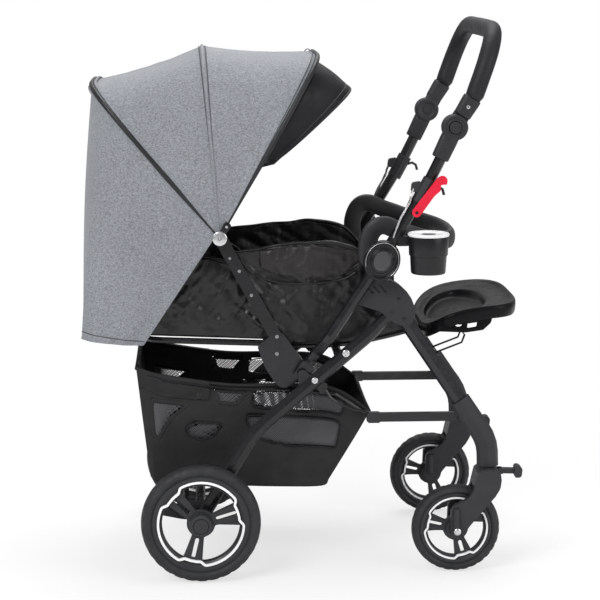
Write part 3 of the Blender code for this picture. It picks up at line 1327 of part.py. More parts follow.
UPPER_ALONG = unit(Vector((0.3317, 0.9667)) - HEIGHT_JOINT)
CUFF_REACH = 0.066


def upper_handle_path():
    """From the right cuff over the top to the left cuff, as 3D points."""
    half = HANDLE_TUBE_HALF
    start = HEIGHT_JOINT + UPPER_ALONG * 0.030
    cuff_end = HEIGHT_JOINT + UPPER_ALONG * (CUFF_REACH + 0.010)
    foot = Vector((cuff_end[0], -half, cuff_end[1]))
    corner = Vector((HANDLE_TOP_X - 0.001, -half, HANDLE_TOP_Z - 0.001))
    top = Vector((HANDLE_TOP_X, 0, HANDLE_TOP_Z))
    rise = corner + (foot - corner).normalized() * HANDLE_CORNER
    run = corner + (top - corner).normalized() * HANDLE_CORNER
    bend = [rise.lerp(corner, i / 6).lerp(corner.lerp(run, i / 6), i / 6) for i in range(7)]
    right = [Vector((start[0], -half, start[1])), foot, *bend, top]
    return right + [Vector((p[0], -p[1], p[2])) for p in reversed(right[:-1])]


def handle_bar(body):
    """The upper handle: one bent tube with a cuff and an inner joint disc each side."""
    bar = tube(upper_handle_path(), HANDLE_BAR_RADIUS, 1)
    across = Vector((-UPPER_ALONG[1], UPPER_ALONG[0]))
    width = HANDLE_TUBE_WIDTH + 0.007
    for side, _ in SIDES:
        cuff_start, cuff_end = HEIGHT_JOINT + UPPER_ALONG * 0.0285, HEIGHT_JOINT + UPPER_ALONG * CUFF_REACH
        cuff = plate([rounded([cuff_start - across * 0.0145, cuff_end - across * 0.0155,
                               cuff_end + across * 0.0155, cuff_start + across * 0.0145], 0.003, 1)],
                     side * HANDLE_TUBE_HALF, width)
        inner_face = HANDLE_TUBE_HALF - width / 2 - 0.003
        disc = cross_pin(HEIGHT_JOINT, inner_face, HANDLE_TUBE_HALF - 0.0005, side, JOINT_RADIUS, 16)
        neck = plate([rounded([cuff_start - across * 0.0145 + UPPER_ALONG * 0.004,
                               HEIGHT_JOINT - across * 0.0235, HEIGHT_JOINT + across * 0.0235,
                               cuff_start + across * 0.0145 + UPPER_ALONG * 0.004], 0.002, 1)],
                     side * (HANDLE_TUBE_HALF - width / 4 - 0.00025), width / 2 - 0.0005)
        join(bar, cuff, neck, disc)
    finish_piece(bar, "handle_bar", "frame_black")
    put_on(body, bar)


def handle_grip(body):
    """The foam sleeve over the upper handle, stopping short of the cuffs."""
    path = upper_handle_path()
    start = HEIGHT_JOINT + UPPER_ALONG * (CUFF_REACH + GAP)
    ends = [Vector((start[0], side * HANDLE_TUBE_HALF, start[1])) for side in (-1, 1)]
    sleeve = tube([ends[0], *path[1:-1], ends[1]], GRIP_RADIUS, 2)
    cut(sleeve, tube(path, HANDLE_BAR_RADIUS + 2 * GAP, 1))
    finish_piece(sleeve, "handle_grip", "grip_foam")
    put_on(body, sleeve)


def pull_slider(body, side, suffix):
    """The pull collar on the tube with its ear, front hook and the steel rod to the latch."""
    path = lower_handle_path()
    along = unit(HEIGHT_JOINT - HUB_CENTRE)
    centre = SLIDER_CENTRE
    run = [centre + along * d for d in (-0.030, -0.015, 0.0, 0.012, 0.022)]
    collar = flat_tube(run, HANDLE_TUBE_HEIGHT + 0.007, HANDLE_TUBE_WIDTH + 0.0055,
                       lambda x, z: side * HANDLE_TUBE_HALF, 2)
    bore = flat_tube(path[6:], HANDLE_TUBE_HEIGHT + 0.0012, HANDLE_TUBE_WIDTH + 0.0012,
                     lambda x, z: side * HANDLE_TUBE_HALF, 2)
    ear_place = centre + Vector((-0.023, 0.003))
    ear = plate([rounded([centre + Vector((-0.012, -0.006)), ear_place + Vector((-0.006, -0.008)),
                          ear_place + Vector((-0.004, 0.010)), centre + Vector((-0.008, 0.016))],
                         0.003, 1)], side * HANDLE_TUBE_HALF, 0.012)
    hook_root = centre + Vector((0.012, 0.000))
    hook = tube([(p[0], side * HANDLE_TUBE_HALF, p[1]) for p in (
        hook_root, hook_root + Vector((0.014, 0.004)), hook_root + Vector((0.022, -0.001)),
        hook_root + Vector((0.025, -0.012)))], 0.0028, 0)
    rod_y = side * (HUB_FACE + 0.0032)
    low = HUB_CENTRE + unit(LOWER_MIDDLE - HUB_CENTRE) * 0.048 + Vector((-0.004, 0.003))
    rod = tube([(ear_place[0] - 0.001, side * (HANDLE_TUBE_HALF + 0.003), ear_place[1]),
                (ear_place[0] - 0.008, rod_y, ear_place[1] - 0.022), (low[0], rod_y, low[1])], 0.0018, 1)
    join(collar, ear, hook, rod)
    cut(collar, bore)
    finish_piece(collar, f"pull_slider_{suffix}", "plastic_dark")
    put_on(body, collar)


def fold_hook(body):
    """The catch on the right tube: a flat lever with a hooked notch near its tip."""
    y = -(HOOK_INNER + HOOK_THICKNESS / 2)
    along = unit(Vector((0.2706, 0.8087)) - HOOK_PIVOT)
    across = Vector((-along[1], along[0]))

    def at(distance, offset):
        return HOOK_PIVOT + along * distance + across * offset

    tip = HOOK_LENGTH
    outline = [at(-0.010, 0.0), at(-0.006, 0.008), at(0.0, 0.0095), at(tip - 0.010, 0.008), at(tip, 0.002),
               at(tip, -0.009), at(tip - 0.012, -0.016), at(tip - 0.014, -0.008), at(tip - 0.022, -0.006),
               at(tip - 0.026, -0.013), at(tip - 0.036, -0.010), at(tip / 2, -0.0085), at(0.006, -0.009),
               at(-0.006, -0.008)]
    lever = plate([rounded(outline, 0.003, 1)], y, HOOK_THICKNESS)
    cut(lever, cylinder((HOOK_PIVOT[0], y, HOOK_PIVOT[1]), (0, 1, 0), HOOK_PIN_RADIUS + RUN, 0.02, 8))
    finish_piece(lever, "fold_hook", "red_plastic")
    put_on(body, lever)


def cup_holder(body):
    """A stepped open cup on a clip that holds the right handle tube."""
    wall = 0.0025
    r, h = CUP_RADIUS, CUP_HEIGHT
    profile = [(0.0, 0.0), (r * 0.86, 0.0), (r * 0.90, h * 0.48), (r * 0.955, h * 0.50), (r, h),
               (r - wall, h), (r * 0.955 - wall, h * 0.50 + wall), (r * 0.90 - wall, h * 0.48),
               (r * 0.86 - wall, wall), (0.0, wall)]
    cup = turned_upright(profile, (CUP_CENTRE[0], -CUP_HALF, CUP_CENTRE[1]), 16)
    tube_x = 0.1752
    clip_z = CUP_CENTRE[1] + 0.060
    clip = block((tube_x + 0.018, -HANDLE_TUBE_HALF, clip_z + 0.002), (0.022, 0.018, 0.020), 0)
    neck = block((tube_x + 0.030, -HANDLE_TUBE_HALF - 0.004, clip_z + 0.002), (0.014, 0.012, 0.014), 0)
    bore = flat_tube(lower_handle_path()[6:], HANDLE_TUBE_HEIGHT + 4 * GAP, HANDLE_TUBE_WIDTH + 4 * GAP,
                     lambda x, z: -HANDLE_TUBE_HALF, 2)
    inside = cylinder((CUP_CENTRE[0], -CUP_HALF, CUP_CENTRE[1] + 0.04), (0, 0, 1), r * 0.86, 0.06, 20)
    join(cup, neck, clip)
    cut(cup, bore, inside)
    finish_piece(cup, "cup_holder", "plastic_dark")
    put_on(body, cup)


def build():
    rear = make_body("rear_frame", (0, 0, 0))
    brake = make_body("brake", (REAR_AXLE_X, 0, REAR_WHEEL_RADIUS), rear)
    front = make_body("front_frame", (FOLD_PIVOT[0], 0, FOLD_PIVOT[1]), rear)
    arms = make_body("arm_frame", (HANDLE_PIVOT[0], 0, HANDLE_PIVOT[1]), rear)
    stays = make_body("link_stays", (STAY_PIVOT[0], 0, STAY_PIVOT[1]), rear)
    links = make_body("lower_links", (LINK_PIVOT[0], 0, LINK_PIVOT[1]), front)
    tray = make_body("foot_rest", (TRAY_PIVOT[0], 0, TRAY_PIVOT[1]), front)
    prop = make_body("foot_prop", (PROP_PIVOT[0], 0, PROP_PIVOT[1]), front)
    bumper_body = make_body("bumper", (FOLD_PIVOT[0], 0, FOLD_PIVOT[1]), front)
    back = make_body("backrest", (RECLINE_PIVOT[0], 0, RECLINE_PIVOT[1]), arms)
    canopy_axis = (CANOPY_PIVOT[0], 0, CANOPY_PIVOT[1])
    front_bow = make_body("canopy_front", canopy_axis, arms)
    middle_bow = make_body("canopy_middle", canopy_axis, arms)
    handle = make_body("handle_lower", (HANDLE_PIVOT[0], 0, HANDLE_PIVOT[1]), rear)
    upper = make_body("handle_upper", (HEIGHT_JOINT[0], 0, HEIGHT_JOINT[1]), handle)
    hook = make_body("fold_hook", (HOOK_PIVOT[0], 0, HOOK_PIVOT[1]), handle)

    rear_cross_pieces(rear)
    basket(rear)
    seat_tub(rear)
    brake_pedal(brake)
    front_cross_tube(front)
    foot_tray(tray)
    foot_prop(prop)
    bumper(bumper_body)
    back_tub(back)
    bow(front_bow, "canopy_front_bow", FRONT_BOW_ANGLE, 0, "plastic_dark")
    bow(middle_bow, "canopy_middle_bow", MIDDLE_BOW_ANGLE, 1, "plastic_dark", MIDDLE_REACH)
    bow(arms, "canopy_rear_bow", REAR_BOW_ANGLE, 2, "plastic_dark", REAR_REACH)
    canopy_cover(arms)
    visor(front_bow)
    handle_bar(upper)
    handle_grip(upper)
    fold_hook(hook)
    cup_holder(handle)
    for side, suffix in SIDES:
        rear_leg(rear, side, suffix)
        basket_rail(rear, side, suffix)
        seat_rail(rear, side, suffix)
        rear_centre = Vector((REAR_AXLE_X, REAR_WHEEL_RADIUS))
        rear_spin = make_body(f"rear_wheel_{suffix}",
                              (rear_centre[0], side * REAR_TRACK_HALF, rear_centre[1]), rear)
        wheel(rear_spin, "rear", suffix, rear_centre, REAR_TRACK_HALF, side, REAR_WHEEL_RADIUS,
              REAR_TYRE_DEPTH, REAR_TYRE_WIDTH, REAR_HUB_RADIUS, 17,
              (REAR_HUB_INNER, REAR_HUB_CAP), REAR_HUB_CAP - 0.004)
        front_bracket(front, side, suffix)
        front_leg(front, side, suffix)
        caster_housing(front, side, suffix)
        caster = make_body(f"caster_{suffix}", (SWIVEL_X, side * FRONT_TRACK_HALF, SWIVEL_TOP_Z), front)
        fork(caster, side, suffix)
        lock_place = (SWIVEL_X + LOCK_REACH, side * FRONT_TRACK_HALF, SWIVEL_TOP_Z - LOCK_DROP)
        lock = make_body(f"swivel_lock_{suffix}", lock_place, caster)
        swivel_lock(lock, side, suffix, lock_place)
        front_centre = Vector((SWIVEL_X - CASTER_TRAIL, FRONT_WHEEL_RADIUS))
        front_spin = make_body(f"front_wheel_{suffix}",
                               (front_centre[0], side * FRONT_TRACK_HALF, front_centre[1]), caster)
        wheel(front_spin, "front", suffix, front_centre, FRONT_TRACK_HALF, side, FRONT_WHEEL_RADIUS,
              FRONT_TYRE_DEPTH, FRONT_TYRE_WIDTH, FRONT_HUB_RADIUS, 47,
              (FRONT_TYRE_WIDTH / 2, FRONT_TYRE_WIDTH / 2), FRONT_TYRE_WIDTH)
        lower_link(links, side, suffix)
        link_stay(stays, side, suffix)
        arm(arms, side, suffix)
        handle_tube(handle, side, suffix)
        latch_hub(handle, side, suffix)
        height_joint(handle, side, suffix)
        button = make_body(f"joint_button_{suffix}", (HEIGHT_JOINT[0], side * JOINT_FACE, HEIGHT_JOINT[1]),
                           handle)
        joint_button(button, side, suffix)
        slider = make_body(f"pull_slider_{suffix}", (SLIDER_CENTRE[0], side * HANDLE_TUBE_HALF, SLIDER_CENTRE[1]),
                           handle)
        pull_slider(slider, side, suffix)


build()
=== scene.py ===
"""The looks of the reversible stroller: cloth, foam, trims, finishes, camera and light."""
from math import acos, asin, copysign, cos, degrees, exp, pi, radians, sin

import bmesh
import bpy
from mathutils import Matrix, Vector, noise


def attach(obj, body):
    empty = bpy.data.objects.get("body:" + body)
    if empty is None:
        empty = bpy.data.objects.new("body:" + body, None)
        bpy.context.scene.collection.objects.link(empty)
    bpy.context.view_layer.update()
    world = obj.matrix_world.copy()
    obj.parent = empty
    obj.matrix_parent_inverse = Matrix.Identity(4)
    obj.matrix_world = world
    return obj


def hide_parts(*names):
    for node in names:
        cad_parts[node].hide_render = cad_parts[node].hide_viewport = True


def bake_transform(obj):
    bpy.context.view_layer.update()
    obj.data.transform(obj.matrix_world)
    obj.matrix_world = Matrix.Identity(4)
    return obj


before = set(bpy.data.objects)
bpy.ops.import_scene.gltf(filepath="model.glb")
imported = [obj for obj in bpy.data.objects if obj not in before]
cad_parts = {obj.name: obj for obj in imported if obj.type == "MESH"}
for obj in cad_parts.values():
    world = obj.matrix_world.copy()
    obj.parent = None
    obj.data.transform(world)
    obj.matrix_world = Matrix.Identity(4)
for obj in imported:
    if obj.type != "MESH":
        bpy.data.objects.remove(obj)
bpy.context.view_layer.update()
SIDES = ((-1, "R"), (1, "L"))

# Shared places, in metres, as (x, z) in the side view
CANOPY_PIVOT = Vector((-0.167, 0.686))
FOLD_PIVOT = Vector((0.176, 0.537))
HUB_CENTRE = Vector((0.152, 0.645))
HEIGHT_JOINT = Vector((0.295, 0.9065))
RECLINE_PIVOT = Vector((-0.052, 0.462))
REAR_AXLE = Vector((-0.209, 0.12))
FRONT_AXLE = Vector((0.309, 0.09))
BOW_REACH, MIDDLE_REACH, REAR_REACH = 0.4025, 0.362, 0.384
FRONT_ANGLE, MIDDLE_ANGLE, REAR_ANGLE = 60.4, 94.8, 130.4
MIDDLE_SHARE = 0.52
SQUARENESS = 0.42
CLOTH_HALF = 0.2165
CLOTH_THICKNESS = 0.0018
TUBE_TOP = Vector((0.2426, 0.7937))
GRIP_FOOT = Vector((0.3317, 0.9667))
HANDLE_HALF = 0.238
REAR_WHEEL_HALF, FRONT_WHEEL_HALF = 0.27, 0.2225
WELD = 1e-6


# Meshes

def lerp(a, b, share):
    return a + (b - a) * share


def power(value, exponent):
    """A power that keeps its sign."""
    return copysign(abs(value) ** exponent, value)


def around(steps):
    """Even angles round a full turn."""
    return [2 * pi * k / steps for k in range(steps)]


def spot(place, y):
    """A place of the side view, at a distance from the middle plane."""
    return Vector((place[0], y, place[1]))


def slope(points, i):
    """The way from the point before to the point after."""
    return points[min(i + 1, len(points) - 1)] - points[max(i - 1, 0)]


def bend(start, corner, end, steps):
    """Points round a corner."""
    return [start.lerp(corner, k / steps).lerp(corner.lerp(end, k / steps), k / steps) for k in range(steps + 1)]


def smooth_step(value):
    value = min(1.0, max(0.0, value))
    return value * value * (3 - 2 * value)


def place_object(name, data):
    made = bpy.data.objects.new(name, data)
    bpy.context.scene.collection.objects.link(made)
    return made


def reshape(mesh, *steps):
    """Run bmesh steps on a mesh and turn its faces outwards."""
    bm = bmesh.new()
    bm.from_mesh(mesh)
    for step in steps:
        step(bm)
    bmesh.ops.recalc_face_normals(bm, faces=bm.faces)
    bm.to_mesh(mesh)
    bm.free()


def weld(bm):
    bmesh.ops.remove_doubles(bm, verts=bm.verts, dist=WELD)


def fill_holes(bm):
    bmesh.ops.holes_fill(bm, edges=[e for e in bm.edges if e.is_boundary], sides=0)


def capped(piece):
    """Close a piece's open ends."""
    reshape(piece.data, fill_holes)
    piece.data.shade_smooth()
    return piece


def sharpen(piece, limit):
    piece.data.set_sharp_from_angle(angle=radians(limit))
    return piece


def make_object(name, verts, faces, smooth=True):
    mesh = bpy.data.meshes.new(name)
    mesh.from_pydata([tuple(v) for v in verts], [], faces)
    reshape(mesh)
    mesh.shade_smooth() if smooth else mesh.shade_flat()
    return place_object(name, mesh)


def grid(name, rows, closed_rows=False, closed_ends=False):
    """One surface through rows of points."""
    width = len(rows[0])
    verts = [p for row in rows for p in row]
    faces = []
    count = len(rows)
    for i in range(count if closed_ends else count - 1):
        for j in range(width if closed_rows else width - 1):
            a, b = i * width + j, i * width + (j + 1) % width
            c, d = (i + 1) % count * width + (j + 1) % width, (i + 1) % count * width + j
            faces.append((a, b, c, d))
    return make_object(name, verts, faces)


def modify(piece, kind, **settings):
    modifier = piece.modifiers.new(kind.title(), kind)
    for key, value in settings.items():
        setattr(modifier, key, value)
    return modifier


def bake(piece):
    """Replace a piece's mesh by what its modifiers make of it."""
    graph = bpy.context.evaluated_depsgraph_get()
    graph.update()
    mesh = bpy.data.meshes.new_from_object(piece.evaluated_get(graph))
    piece.modifiers.clear()
    piece.data = mesh
    return piece


def thicken(piece, thickness, offset=0.0, **settings):
    """Give a cloth its thickness."""
    modify(piece, "SOLIDIFY", thickness=thickness, offset=offset, **settings)
    bake(piece).data.shade_smooth()
    return piece


def flipped(point):
    return Vector((point[0], -point[1], point[2]))


def frames_along(points):
    """Directions across a path that turn as little as they can."""
    directions = [slope(points, i).normalized() for i in range(len(points))]
    side = directions[0].cross(Vector((0, 0, 1)))
    if side.length < 0.1:
        side = directions[0].cross(Vector((0, 1, 0)))
    side.normalize()
    frames = []
    for direction in directions:
        side = (side - direction * side.dot(direction)).normalized()
        frames.append((side, direction.cross(side)))
    return frames


def sweep(name, points, radius, steps=16, flat=1.0, closed=False):
    """A round or flattened bar along a path; radius is a number or one per point."""
    points = [Vector(p) for p in points]
    radii = radius if hasattr(radius, "__len__") else [radius] * len(points)
    rows = []
    for point, size, (side, up) in zip(points, radii, frames_along(points)):
        rows.append([point + side * cos(a) * size + up * sin(a) * size * flat
                     for a in around(steps)])
    piece = grid(name, rows, closed_rows=True, closed_ends=closed)
    if not closed:
        def close_ends(bm):
            bm.verts.ensure_lookup_table()
            for start in (0, (len(rows) - 1) * steps):
                bm.faces.new([bm.verts[start + i] for i in range(steps)])

        reshape(piece.data, close_ends)
    return piece


def spline(points, count):
    """Catmull-Rom points through a path, with count steps a span."""
    points = [Vector(p) for p in points]
    ends = [points[0] * 2 - points[1], *points, points[-1] * 2 - points[-2]]
    made = []
    for i in range(1, len(ends) - 2):
        p0, p1, p2, p3 = ends[i - 1:i + 3]
        for k in range(count):
            t = k / count
            made.append(0.5 * ((2 * p1) + (p2 - p0) * t + (2 * p0 - 5 * p1 + 4 * p2 - p3) * t * t
                               + (3 * p1 - p0 - 3 * p2 + p3) * t ** 3))
    made.append(points[-1])
    return made


def lathe(name, profile, centre, side=1, steps=96, axis="Y", closed=True):
    """A turned piece: profile is (radius, height along the axis)."""
    rows = []
    for turn in around(steps):
        c, s = cos(turn), sin(turn)
        row = []
        for radius, height in profile:
            offset = ((radius * c, side * height, radius * s) if axis == "Y"
                      else (radius * c, radius * s, height))
            row.append(Vector(centre) + Vector(offset))
        rows.append(row)
    piece = grid(name, rows, closed_rows=closed, closed_ends=True)
    reshape(piece.data, weld, lambda bm: bmesh.ops.dissolve_degenerate(bm, edges=bm.edges, dist=1e-7))
    return piece


def turned(name, profile, place, y, side, steps, limit=None):
    """A solid turned round an axis that runs across the stroller."""
    piece = lathe(name, profile, spot(place, y), side, steps, closed=False)
    return sharpen(piece, limit) if limit else piece


def join(name, pieces):
    """Several meshes as one piece."""
    bm = bmesh.new()
    slots = []
    for piece in pieces:
        start = len(bm.faces)
        bm.from_mesh(piece.data)
        bm.faces.ensure_lookup_table()
        for material in piece.data.materials:
            if material not in slots:
                slots.append(material)
        for face in bm.faces[start:]:
            if len(piece.data.materials):
                face.material_index = slots.index(piece.data.materials[face.material_index])
    mesh = bpy.data.meshes.new(name)
    for material in slots:
        mesh.materials.append(material)
    bm.to_mesh(mesh)
    bm.free()
    for piece in pieces:
        bpy.data.objects.remove(piece)
    return place_object(name, mesh)


def dress(piece, finish, body):
    """Give a piece its finish, in a slot that has the finish's name, and its body; with no finish named, its slots
    stay as they are.
    """
    if finish:
        piece.data.materials.clear()
        piece.data.materials.append(M[finish])
    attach(piece, body)
    return piece


def wrinkle(point, scale, seed):
    """Soft cloth unevenness at a place, from -1 to 1."""
    return noise.noise(Vector(point) * scale + Vector((seed, seed * 0.7, -seed)))


# Finishes

class Finish:
    """A node material built step by step."""

    def __init__(self, name, base, roughness, **shader):
        self.material = bpy.data.materials.new(name)
        self.material.use_nodes = True
        self.tree = self.material.node_tree
        self.shader = self.tree.nodes["Principled BSDF"]
        self.shader.inputs["Base Color"].default_value = (*base, 1)
        self.shader.inputs["Roughness"].default_value = roughness
        for key, value in shader.items():
            self.shader.inputs[key.replace("_", " ")].default_value = value
        self.place = self.tree.nodes.new("ShaderNodeTexCoord").outputs["Object"]
        self.height = None

    def node(self, kind, **settings):
        made = self.tree.nodes.new("ShaderNode" + kind)
        for key, value in settings.items():
            if key in made.inputs:
                made.inputs[key].default_value = value
            else:
                setattr(made, key, value)
        return made

    def link(self, start, end):
        self.tree.links.new(start, end)

    def noise(self, scale, detail=2.0, stretch=None, roughness=0.5):
        made = self.node("TexNoise", Scale=scale, Detail=detail, Roughness=roughness)
        self.link(self.stretched(stretch), made.inputs["Vector"])
        return made.outputs["Fac"]

    def cells(self, scale):
        made = self.node("TexVoronoi", Scale=scale)
        self.link(self.place, made.inputs["Vector"])
        return made.outputs["Distance"]

    def stretched(self, stretch):
        if stretch is None:
            return self.place
        scale, turn = stretch
        mapping = self.node("Mapping", Scale=scale, Rotation=turn)
        self.link(self.place, mapping.inputs["Vector"])
        return mapping.outputs["Vector"]

    def ramp(self, value, low, high, start=0.3, end=0.7):
        made = self.node("ValToRGB")
        for stop, place, colour in zip(made.color_ramp.elements, (start, end), (low, high)):
            stop.position, stop.color = place, (*colour, 1)
        self.link(value, made.inputs["Fac"])
        return made.outputs["Color"]

    def mapped(self, value, from_min, from_max, to_min, to_max, **settings):
        made = self.node("MapRange", **settings)
        for key, number in (("From Min", from_min), ("From Max", from_max), ("To Min", to_min), ("To Max", to_max)):
            made.inputs[key].default_value = number
        self.link(value, made.inputs["Value"])
        return made.outputs["Result"]

    def scaled(self, value, low, high):
        return self.mapped(value, 0.3, 0.7, low, high)

    def mixed(self, factor, a, b, kind="MIX"):
        made = self.node("Mix", data_type="RGBA", blend_type=kind)
        for value, socket in ((factor, 0), (a, 6), (b, 7)):
            if isinstance(value, (int, float)):
                made.inputs[socket].default_value = value
            elif isinstance(value, tuple):
                made.inputs[socket].default_value = (*value, 1)
            else:
                self.link(value, made.inputs[socket])
        return made.outputs[2]

    def colour(self, value):
        self.link(value, self.shader.inputs["Base Color"])
        return self

    def rough(self, value):
        self.link(value, self.shader.inputs["Roughness"])
        return self

    def uneven(self, scale, detail, low, high):
        """A roughness that differs from place to place."""
        return self.rough(self.scaled(self.noise(scale, detail), low, high))

    def bump(self, value, depth, distance=0.001):
        made = self.node("Bump", Strength=depth, Distance=distance)
        self.link(value, made.inputs["Height"])
        if self.height is not None:
            self.link(self.height, made.inputs["Normal"])
        self.height = made.outputs["Normal"]
        self.link(self.height, self.shader.inputs["Normal"])
        return self

    def edges(self, base_colour, edge_highlight, amount=0.5):
        """Paler colour along sharp edges: a painted highlight where the edges catch the light."""
        share = self.mapped(self.node("NewGeometry").outputs["Pointiness"], 0.53, 0.62, 0.0, amount)
        return self.mixed(share, base_colour, edge_highlight)


def tone(value, share):
    return tuple(min(1.0, channel * share) for channel in value)


def frame_finish(name, base, roughness):
    """Powder-coated tube: fine orange peel, slightly uneven sheen, and sharp edges painted paler as a painted
    highlight.
    """
    made = Finish(name, base, roughness, Specular_IOR_Level=0.4)
    # Sharp edges are painted paler as a painted highlight, over a tone that differs at random.
    made.colour(made.edges(made.ramp(made.noise(18, 3), tone(base, 0.82), tone(base, 1.22)), tone(base, 3.2), 0.45))
    made.uneven(60, 3, roughness - 0.07, roughness + 0.08)
    made.bump(made.noise(900, 2), 0.1, 0.0004)
    return made.material


def plastic_finish(name, base, roughness, grain=1100, depth=0.16, gloss=0.32):
    """Moulded plastic with a fine spark-eroded grain."""
    made = Finish(name, base, roughness, Specular_IOR_Level=gloss)
    # Sharp edges are painted paler as a painted highlight, over a tone that differs at random.
    made.colour(made.edges(made.ramp(made.noise(14, 4), tone(base, 0.85), tone(base, 1.18)), tone(base, 2.0), 0.35))
    made.uneven(45, 3, roughness - 0.06, roughness + 0.08)
    made.bump(made.cells(grain), depth, 0.0004)
    return made.material


def rubber_finish(name, base):
    made = Finish(name, base, 0.62, Specular_IOR_Level=0.35)
    made.colour(made.ramp(made.noise(25, 5), tone(base, 0.8), tone(base, 1.45)))
    made.uneven(90, 3, 0.52, 0.72)
    made.bump(made.noise(1300, 2), 0.18, 0.0004)
    return made.material


def steel_finish(name, base, roughness=0.28):
    made = Finish(name, base, roughness, Metallic=1.0)
    lines = made.noise(260, 3, ((1, 14, 1), (0, 0, 0)))
    made.colour(made.ramp(lines, tone(base, 0.8), tone(base, 1.08)))
    made.uneven(120, 2, roughness - 0.06, roughness + 0.1)
    made.bump(lines, 0.06, 0.0002)
    return made.material


def heather_finish(name, dark, middle, light):
    """Two-tone yarns woven plain: flecks over a fine over-and-under grain."""
    made = Finish(name, middle, 0.88, Specular_IOR_Level=0.25, Sheen_Weight=0.15, Sheen_Roughness=0.6)
    warp = made.noise(1000, 2, ((1.0, 1.0, 0.3), (0.0, 0.0, 0.0)), 0.6)
    weft = made.noise(1000, 2, ((0.3, 1.0, 1.0), (0.0, 0.0, 0.0)), 0.6)
    flecks = made.mixed(0.5, made.ramp(warp, dark, light, 0.38, 0.62), made.ramp(weft, dark, light, 0.38, 0.62))
    patches = made.ramp(made.noise(360, 2, ((0.6, 1.0, 1.0), (0.0, 0.3, 0.0))), tone(middle, 0.62),
                        tone(middle, 1.4), 0.34, 0.66)
    shade = made.ramp(made.noise(7, 3), (0.9, 0.9, 0.91), (1.0, 1.0, 1.0))
    made.colour(made.mixed(1.0, made.mixed(0.52, flecks, patches), shade, "MULTIPLY"))
    made.bump(made.noise(950, 1, ((1, 1, 0.4), (0, 0, 0))), 0.35, 0.0006)
    made.bump(made.noise(950, 1, ((0.4, 1, 1), (0, 0, 0))), 0.35, 0.0006)
    return made.material


def polyester_finish(name, base, light, roughness=0.62, weave=1500, creases=0.0):
    """Tight black polyester with a soft sheen and pressed creases."""
    made = Finish(name, base, roughness, Specular_IOR_Level=0.4, Sheen_Weight=0.03, Sheen_Roughness=0.45)
    made.colour(made.ramp(made.noise(16, 4), base, light, 0.32, 0.7))
    made.uneven(30, 3, roughness - 0.08, roughness + 0.1)
    made.bump(made.noise(weave, 1), 0.16, 0.0004)
    made.bump(made.noise(34, 4, None, 0.6), 0.3, 0.004)
    if creases:
        made.bump(made.noise(21, 2, ((1.0, 1.0, 0.3), (0.0, 0.75, 0.0)), 0.45), creases, 0.02)
        made.bump(made.noise(30, 2, ((0.3, 1.0, 1.0), (0.0, 0.45, 0.0)), 0.45), creases * 0.7, 0.014)
    return made.material


def leather_finish(name, base, light, scale=380, depth=0.55):
    """Pebbled leatherette: rounded cells with creases between them, the cells painted paler at their middles and
    darker in the creases as painted highlight and shade.
    """
    made = Finish(name, base, 0.5, Specular_IOR_Level=0.18)
    pebbles = made.cells(scale)
    # Painted highlight and shade: each cell paler at its middle and darker towards the creases, mixed with a tone that
    # differs at random.
    made.colour(made.mixed(0.5, made.ramp(pebbles, light, base, 0.1, 0.62), made.ramp(made.noise(20, 3), base, light)))
    made.uneven(70, 3, 0.44, 0.6)
    made.bump(pebbles, -depth, 0.001)
    return made.material


def foam_finish(name, base, light):
    """Closed-cell foam under a lightly embossed skin."""
    made = Finish(name, base, 0.55, Specular_IOR_Level=0.4)
    made.colour(made.ramp(made.noise(28, 4), base, light))
    made.uneven(60, 3, 0.45, 0.64)
    made.bump(made.cells(620), -0.35, 0.0007)
    return made.material


FINISHES = {
    "frame_black": (frame_finish, (0.0065, 0.0065, 0.0078), 0.24),
    "bow_wire": (frame_finish, (0.0065, 0.0065, 0.0075), 0.22),
    "plastic_dark": (plastic_finish, (0.02, 0.02, 0.0225), 0.52),
    "plastic_gloss": (plastic_finish, (0.008, 0.008, 0.0095), 0.27, 1500, 0.04),
    "rim_black": (plastic_finish, (0.024, 0.025, 0.027), 0.4, 1200, 0.1),
    "tyre": (rubber_finish, (0.019, 0.019, 0.021)),
    "steel": (steel_finish, (0.62, 0.62, 0.63)),
    "red_plastic": (plastic_finish, (0.52, 0.008, 0.028), 0.36, 1300, 0.06),
    "canopy_cloth": (heather_finish, (0.07, 0.076, 0.09), (0.205, 0.218, 0.242), (0.43, 0.44, 0.46)),
    "lining": (polyester_finish, (0.01, 0.01, 0.011), (0.016, 0.016, 0.018)),
    "piping": (polyester_finish, (0.007, 0.008, 0.01), (0.012, 0.012, 0.014), 0.42),
    "visor_leather": (leather_finish, (0.0085, 0.0085, 0.01), (0.0185, 0.0185, 0.021)),
    "seat_cloth": (polyester_finish, (0.005, 0.0048, 0.0057), (0.0085, 0.0082, 0.0092), 0.36, 1500, 0.55),
    "flap_cloth": (polyester_finish, (0.0105, 0.0086, 0.0094), (0.0165, 0.0136, 0.0146), 0.42, 1500, 0.5),
    "basket_cloth": (polyester_finish, (0.005, 0.005, 0.0057), (0.0082, 0.0082, 0.009), 0.62, 900, 0.25),
    "net": (polyester_finish, (0.048, 0.047, 0.052), (0.082, 0.08, 0.087), 0.6),
    "grip_foam": (leather_finish, (0.015, 0.015, 0.0175), (0.025, 0.025, 0.0285), 520, 0.4),
    "bumper_foam": (foam_finish, (0.015, 0.015, 0.017), (0.0215, 0.0215, 0.024)),
    "tray_black": (plastic_finish, (0.0062, 0.0062, 0.0072), 0.3, 1500, 0.03, 0.1),
    "zinc": (steel_finish, (0.34, 0.34, 0.35), 0.42),
    "white_line": (plastic_finish, (0.8, 0.8, 0.81), 0.35, 1500, 0.03),
    "disc_grey": (plastic_finish, (0.052, 0.052, 0.057), 0.48, 1300, 0.06),
    "lid_white": (plastic_finish, (0.76, 0.76, 0.77), 0.3, 1500, 0.03),
    "thread": (polyester_finish, (0.045, 0.048, 0.055), (0.075, 0.078, 0.085), 0.7),
}

M = {name: finish(name, *values) for name, (finish, *values) in FINISHES.items()}

